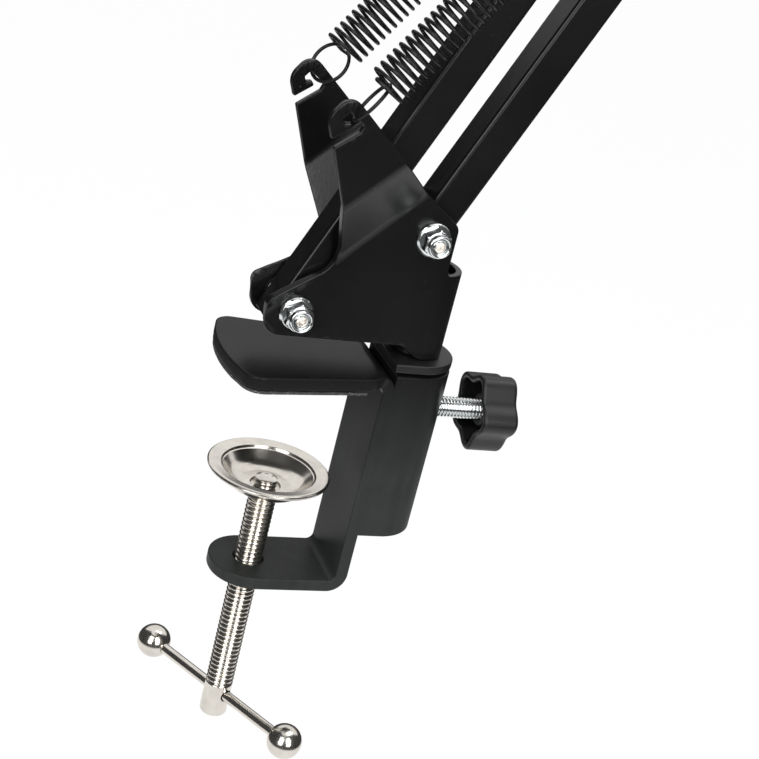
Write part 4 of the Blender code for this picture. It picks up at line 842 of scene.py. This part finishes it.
def spring(name, seat, far, y, tilt=0.0, reach=EYE_REACH, rise=EYE_RISE):
    """Extension spring: an eye, close coils and an eye, as one wire.

    Half the first eye's length is reach, and its coils begin at rise from its seat.

    Eye: centre + R cos a across + E sin a away. Coils: root + axis times length + R (cos, sin) of the
    turn. A cubic joins an eye to its coils with both directions kept, and the eye's free end stays
    within the first coil.
    """
    axis = (far - seat) / np.linalg.norm(far - seat)
    side, out = np.array((axis[2], 0, -axis[0])), np.array((0, 1.0, 0))
    start = seat + (0, y, 0)
    end = far + (0, y, 0) + axis * (PIN_R + GAP + WIRE_R)
    eyes = []
    for spot, away, lean, e, up in (
        (start, -axis, tilt, reach, rise), (end, axis, 0.0, EYE_REACH, EYE_RISE),
    ):
        across = cos(lean) * side + sin(lean) * out
        a = np.radians(np.arange(-46, 273, 4))[:, None]
        outward = np.cos(a) * across + np.sin(a) * away
        ring = spot - away * e + COIL_R * np.cos(a) * across + e * np.sin(a) * away
        eyes.append((ring, outward, spot - away * up, across))
    (ring_a, out_a, root_a, across_a), (ring_b, out_b, root_b, across_b) = eyes
    length = np.linalg.norm(root_b - root_a)
    coils = round(length / COIL_PITCH)
    turn_of = lambda v: np.arctan2(v @ out, v @ side)
    a = np.linspace(turn_of(across_a), turn_of(across_b) + 2 * pi * coils, coils * 26 + 1)[:, None]
    outward = np.cos(a) * side + np.sin(a) * out
    share = np.linspace(0, 1, len(a))[:, None]
    coil = root_a + axis * length * share + COIL_R * outward
    skip = 10  # points of the coils that the eyes' cubics take over
    coil, outward = coil[skip:-skip], outward[skip:-skip]

    def bridge(before, after, out_before, out_after):
        """Cubic from the end of one line to the start of the next, and its outward directions."""
        p, q = before[-1], after[0]
        t = np.linspace(0, 1, 9)[1:-1, None]
        pull = np.linalg.norm(q - p) * 0.9
        unit = lambda v: v / np.linalg.norm(v)
        line = ((2 * t**3 - 3 * t**2 + 1) * p + (t**3 - 2 * t**2 + t) * pull * unit(p - before[-2])
                + (3 * t**2 - 2 * t**3) * q + (t**3 - t**2) * pull * unit(after[1] - q))
        return line, out_before[-1] + (out_after[0] - out_before[-1]) * t

    ring_a, out_a = ring_a[::-1], out_a[::-1]
    join_a, turn_a = bridge(ring_a, coil, out_a, outward)
    join_b, turn_b = bridge(coil, ring_b, outward, out_b)
    path = np.concatenate([ring_a, join_a, coil, join_b, ring_b])
    outward = np.concatenate([out_a, turn_a, outward, turn_b, out_b])
    obj = piece(f"{name}_coils", wire(path, outward, WIRE_R), "spring_wire", None, name, crisp=80)
    tuple(root_a * MM)
    tuple(root_b * MM)
    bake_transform(obj)


def plates(prefix, centres, holes, body):
    """Two equal plates on both sides of the bars."""
    outline = belt([(c[0], c[2]) for c in centres], 7.0)
    loops = [circle((c[0], c[2]), r, 32) for c, r in holes]
    low, high = outline.min(0), outline.max(0)
    grid = lattice(np.arange(low[0], high[0], 4.0), np.arange(low[1], high[1], 4.0))
    for side, y in (("near", -PLATE_HALF + SHEET_T / 2), ("far", PLATE_HALF - SHEET_T / 2)):
        made = sheet(outline, loops, SHEET_T, SHEET_RIM, upright(y), grid)
        piece(f"{prefix}_side_{side}", made, "black_powder_coat", body, f"{prefix}_plate_{side}")


def arm():
    """Bars, elbow, head plates, pins, springs and every pivot's fasteners."""
    for arm_half, bar, spot, way in (
        ("lower", "front", FRONT, LOWER_DIR), ("lower", "rear", REAR, LOWER_DIR),
        ("upper", "lower", ELBOW_LOW, UPPER_DIR), ("upper", "upper", ELBOW_HIGH, UPPER_DIR),
    ):
        square_tube(f"{arm_half}_bar_{bar}", spot, way, f"{arm_half}_{bar}")
    pivots = {
        "base": {"front": FRONT, "rear": REAR},
        "elbow": {"front": ELBOW_FRONT, "rear": ELBOW_REAR, "low": ELBOW_LOW, "high": ELBOW_HIGH},
        "head": {"low": HEAD_LOW, "high": HEAD_HIGH},
    }
    for prefix, spots in pivots.items():
        for which, spot in spots.items():
            fastener(prefix, which, spot, prefix)
    bolts = {prefix: [(spot, BOLT_HOLE_R) for spot in spots.values()] for prefix, spots in pivots.items()}
    plates("elbow", (ELBOW_FRONT, ELBOW_REAR, ELBOW_PIN, ELBOW_HIGH, ELBOW_LOW),
           bolts["elbow"] + [(ELBOW_PIN, PIN_R + GAP)], "elbow")
    plates("head", (TILT, HEAD_LOW, HEAD_HIGH), bolts["head"] + [(TILT, TILT_HOLE_R)], "head")
    pin("lower_spring_pin", LOWER_PIN, "lower_rear")
    pin("elbow_spring_pin", ELBOW_PIN, "elbow")
    pin("upper_spring_pin", UPPER_PIN, "upper_lower")
    seat = HOOK_SEAT + 0.85 * np.array((sin(HOOK_LEAN), 0, cos(HOOK_LEAN)))
    spring("lower_spring_near", seat, LOWER_PIN, -SPRING_Y, radians(77), 5.9, 9.55)
    spring("lower_spring_far", seat, LOWER_PIN, SPRING_Y, radians(-60), 5.4, 9.15)
    away = (UPPER_PIN - ELBOW_PIN) / np.linalg.norm(UPPER_PIN - ELBOW_PIN) * (PIN_R + GAP + WIRE_R)
    for side, y in (("near", -SPRING_Y), ("far", SPRING_Y)):
        spring(f"upper_spring_{side}", ELBOW_PIN - away, UPPER_PIN, y)


def microphone_head():
    """Tilting block, threaded stud with its adapter, tilt bolt and knob."""
    r, top = 8.1, 14.0
    x, z = TILT[0], TILT[2]
    outline = soften([(x + r, z - r, 7.2), (x + r, z + top, 1.5), (x - r, z + top, 1.5), (x - r, z - r, 7.2)],
                     count=10, closed=True)
    grid = lattice(np.arange(x - 8, x + 8, 3.0), np.arange(z - 8, z + 14, 3.0))
    block = sheet(outline, [circle((x, z), TILT_HOLE_R)], 11.8, 0.4, upright(0), grid)
    piece("tilt_body", block, "black_powder_coat", "tilter", "tilt_block")
    foot = TILT + (0, 0, top + GAP)
    stud = soften([(0, 0), (5.0, 0, 0.2), (5.0, 1.2, 0.2), (0, 1.2)])
    flange = soften([(5.0, 1.5, 0), (9.5, 1.5, 0.3), (9.5, 3.9, 0.3), (7.6, 3.9, 0.2), (7.6, 4.6, 0),
                     (5.0, 4.6, 0)], closed=True)
    knurl = lambda a, r, h: r + 0.14 * np.where(r > 9.3, np.cos(60 * a), 0)
    flange = turned(flange, 360, foot, section=knurl, bored=True)
    turns = thread(7.9, 0.5, 0.941, 4.4, 15.9, foot, columns=64)
    for name, made, node, drills in (
        ("stud_foot", turned(stud, 48, foot), "mic_stud", ()),
        ("stud_thread", thread(4.7, 0.75, 1.5875, 1.1, 14, foot), "mic_stud", ()),
        ("adapter_flange", flange, "thread_adapter", ()),
        ("adapter_thread", turns, "thread_adapter", [rod(5.0, 3, 17, foot)]),
    ):
        piece(name, made, "bright_zinc", "tilter", node, drills=drills)
    reach, k = PLATE_HALF + GAP, 0.86
    hub = k * (KNOB_LENGTH - KNOB_FLOOR)
    cap = [(0, 2.4, 0), (1.4, 2.4, 0.1), (1.4, 3.2, 0.2), (4.4, 3.2, 0.6), (4.8, 2.6, 0.3), (4.8, 0, 0.2),
           (2.5, 0, 0)]
    head = soften([(r, -reach - h, s) for r, h, s in cap] + [(2.5, reach + hub, 0), (0, reach + hub, 0)])
    socket = hexagon(2.4, -reach - 3.3, -reach - 2.5)
    hollow = lambda a, r, h: np.where(r < 1.5, socket(a, r, h), r)
    piece("tilt_cap_bolt", turned(head, 96, TILT, FRONTWARD, hollow), "bright_zinc", "head", "tilt_bolt")
    knob = lobed_knob(k, 2.6, hub, TILT - (0, reach, 0), FRONTWARD, 0.0)
    piece("tilt_lobed_knob", knob, "black_plastic", "tilt_handle", "tilt_knob")


clamp()
pressure()
lock()
base()
arm()
microphone_head()


SENSOR, FOCAL_PX, PICTURE_PX = 36.0, 1700, 759
EYE = Vector((-149.083, -388.173, 176.646))
TARGET = Vector((0.0, 0.0, -0.02))
FLOOR_Z, FLOOR_HALF = -0.6, 6.0


def soft_box(name, way, width, height, strength):
    """Area lamp at a way off from the target, which it faces."""
    lamp = bpy.data.lights.new(name, "AREA")
    lamp.shape, lamp.size, lamp.size_y = "RECTANGLE", width, height
    lamp.energy = strength
    obj = bpy.data.objects.new(name, lamp)
    obj.location = TARGET + way
    obj.rotation_euler = (-way).to_track_quat("-Z", "Y").to_euler()
    bpy.context.collection.objects.link(obj)


def camera():
    """The photograph's camera: turned towards +X, tipped down and rolled. Gives where it looks."""
    lens = bpy.data.cameras.new("camera")
    lens.sensor_width, lens.lens = SENSOR, SENSOR * FOCAL_PX / PICTURE_PX
    lens.clip_start, lens.clip_end = 0.01, 50
    az, el, roll = radians(24.21), radians(22.77), 0.25133
    ahead = Vector((sin(az) * cos(el), cos(az) * cos(el), -sin(el)))
    right = ahead.cross(Vector((0, 0, 1))).normalized()
    up = right.cross(ahead)
    right, up = cos(roll) * right + sin(roll) * up, -sin(roll) * right + cos(roll) * up
    eye = bpy.data.objects.new("camera", lens)
    eye.matrix_world = Matrix.Translation(EYE * MM) @ Matrix((right, up, -ahead)).transposed().to_4x4()
    bpy.context.collection.objects.link(eye)
    bpy.context.scene.camera = eye
    return ahead


def pale_floor():
    """White floor: seen directly or in a reflection it is mostly white paper, with a share that is lit."""
    f = Finish("floor")
    f.finish(grey(0.93), 0.9)
    paper = f.node("ShaderNodeEmission", inputs={"Color": grey(1), "Strength": 1.0})
    lit = Value(f, f.shader.outputs[0])
    mixed = f.node("ShaderNodeMixShader", inputs={0: f.seen() * 0.9, 1: lit, 2: paper})
    f.feed(f.tree.nodes["Material Output"].inputs["Surface"], mixed)
    return f.material


def staged(name, points, faces, material):
    """A piece of the studio, in metres."""
    mesh = bpy.data.meshes.new(name)
    mesh.from_pydata(points, [], faces)
    mesh.materials.append(material)
    obj = bpy.data.objects.new(name, mesh)
    bpy.context.collection.objects.link(obj)
    return obj


def studio():
    """Pale floor, white surroundings, two soft boxes beside the camera and one overhead."""
    back = -camera()
    corners = [(x * FLOOR_HALF, y * FLOOR_HALF, FLOOR_Z) for x, y in ((-1, -1), (1, -1), (1, 1), (-1, 1))]
    staged("floor", corners, [(0, 1, 2, 3)], pale_floor())

    world = bpy.data.worlds.new("studio")
    bpy.context.scene.world = world
    world.use_nodes = True
    g = Graph(world.node_tree)
    g.tree.nodes.clear()
    light = g.node("ShaderNodeBackground", inputs={"Color": (0.86, 0.87, 0.88, 1)})
    white = g.node("ShaderNodeBackground", inputs={"Color": grey(1)})
    mixed = g.node("ShaderNodeMixShader", inputs={0: g.seen(), 1: light, 2: white})
    g.feed(g.tree.nodes.new("ShaderNodeOutputWorld").inputs["Surface"], mixed)

    flat = Vector((back.x, back.y, 0)).normalized()
    side = Vector((flat.y, -flat.x, 0))
    for name, angle in (("left_box", 20), ("right_box", -33)):
        way = cos(radians(angle)) * flat + sin(radians(angle)) * side + Vector((0, 0, 0.45))
        soft_box(name, way.normalized() * 1.2, 0.5, 1.05, 9.6)
    soft_box("top_box", Vector((0.6, -0.1, 1.8)), 0.8, 1.1, 13.0)
    shade(flat, side)


def shade(flat, side):
    """Dark room behind the camera, seen only by reflection: part of a dome, by azimuth and height."""
    rows, columns = 19, 73
    az = np.radians(np.linspace(-180, 180, columns))[None, :]
    behind = np.clip((np.abs(np.degrees(az)) - 95) / 30, 0, 1)
    low, high = -29 - 33 * behind, 63 - 47 * behind
    el = np.radians(low + (high - low) * np.linspace(0, 1, rows)[:, None])
    f, s = np.array(flat), np.array(side)
    points = 1.35 * (np.cos(el)[..., None] * (np.cos(az)[..., None] * f + np.sin(az)[..., None] * s)
                     + np.sin(el)[..., None] * np.array((0, 0, 1.0)))
    dark = Finish("dark_room")
    colour = dark.mix(dark.height().between(-0.9, -0.6), grey(0.34), grey(0.03))
    points = (points.reshape(-1, 3) + np.array(TARGET)).tolist()
    faces = weave(rows, columns, wrap_columns=False).tolist()
    dome = staged("dark_room", points, faces, dark.finish(colour, 0.9))
    for ray in ("camera", "diffuse", "shadow", "transmission", "volume_scatter"):
        setattr(dome, f"visible_{ray}", False)


studio()
bpy.context.scene.view_settings.view_transform = "Standard"
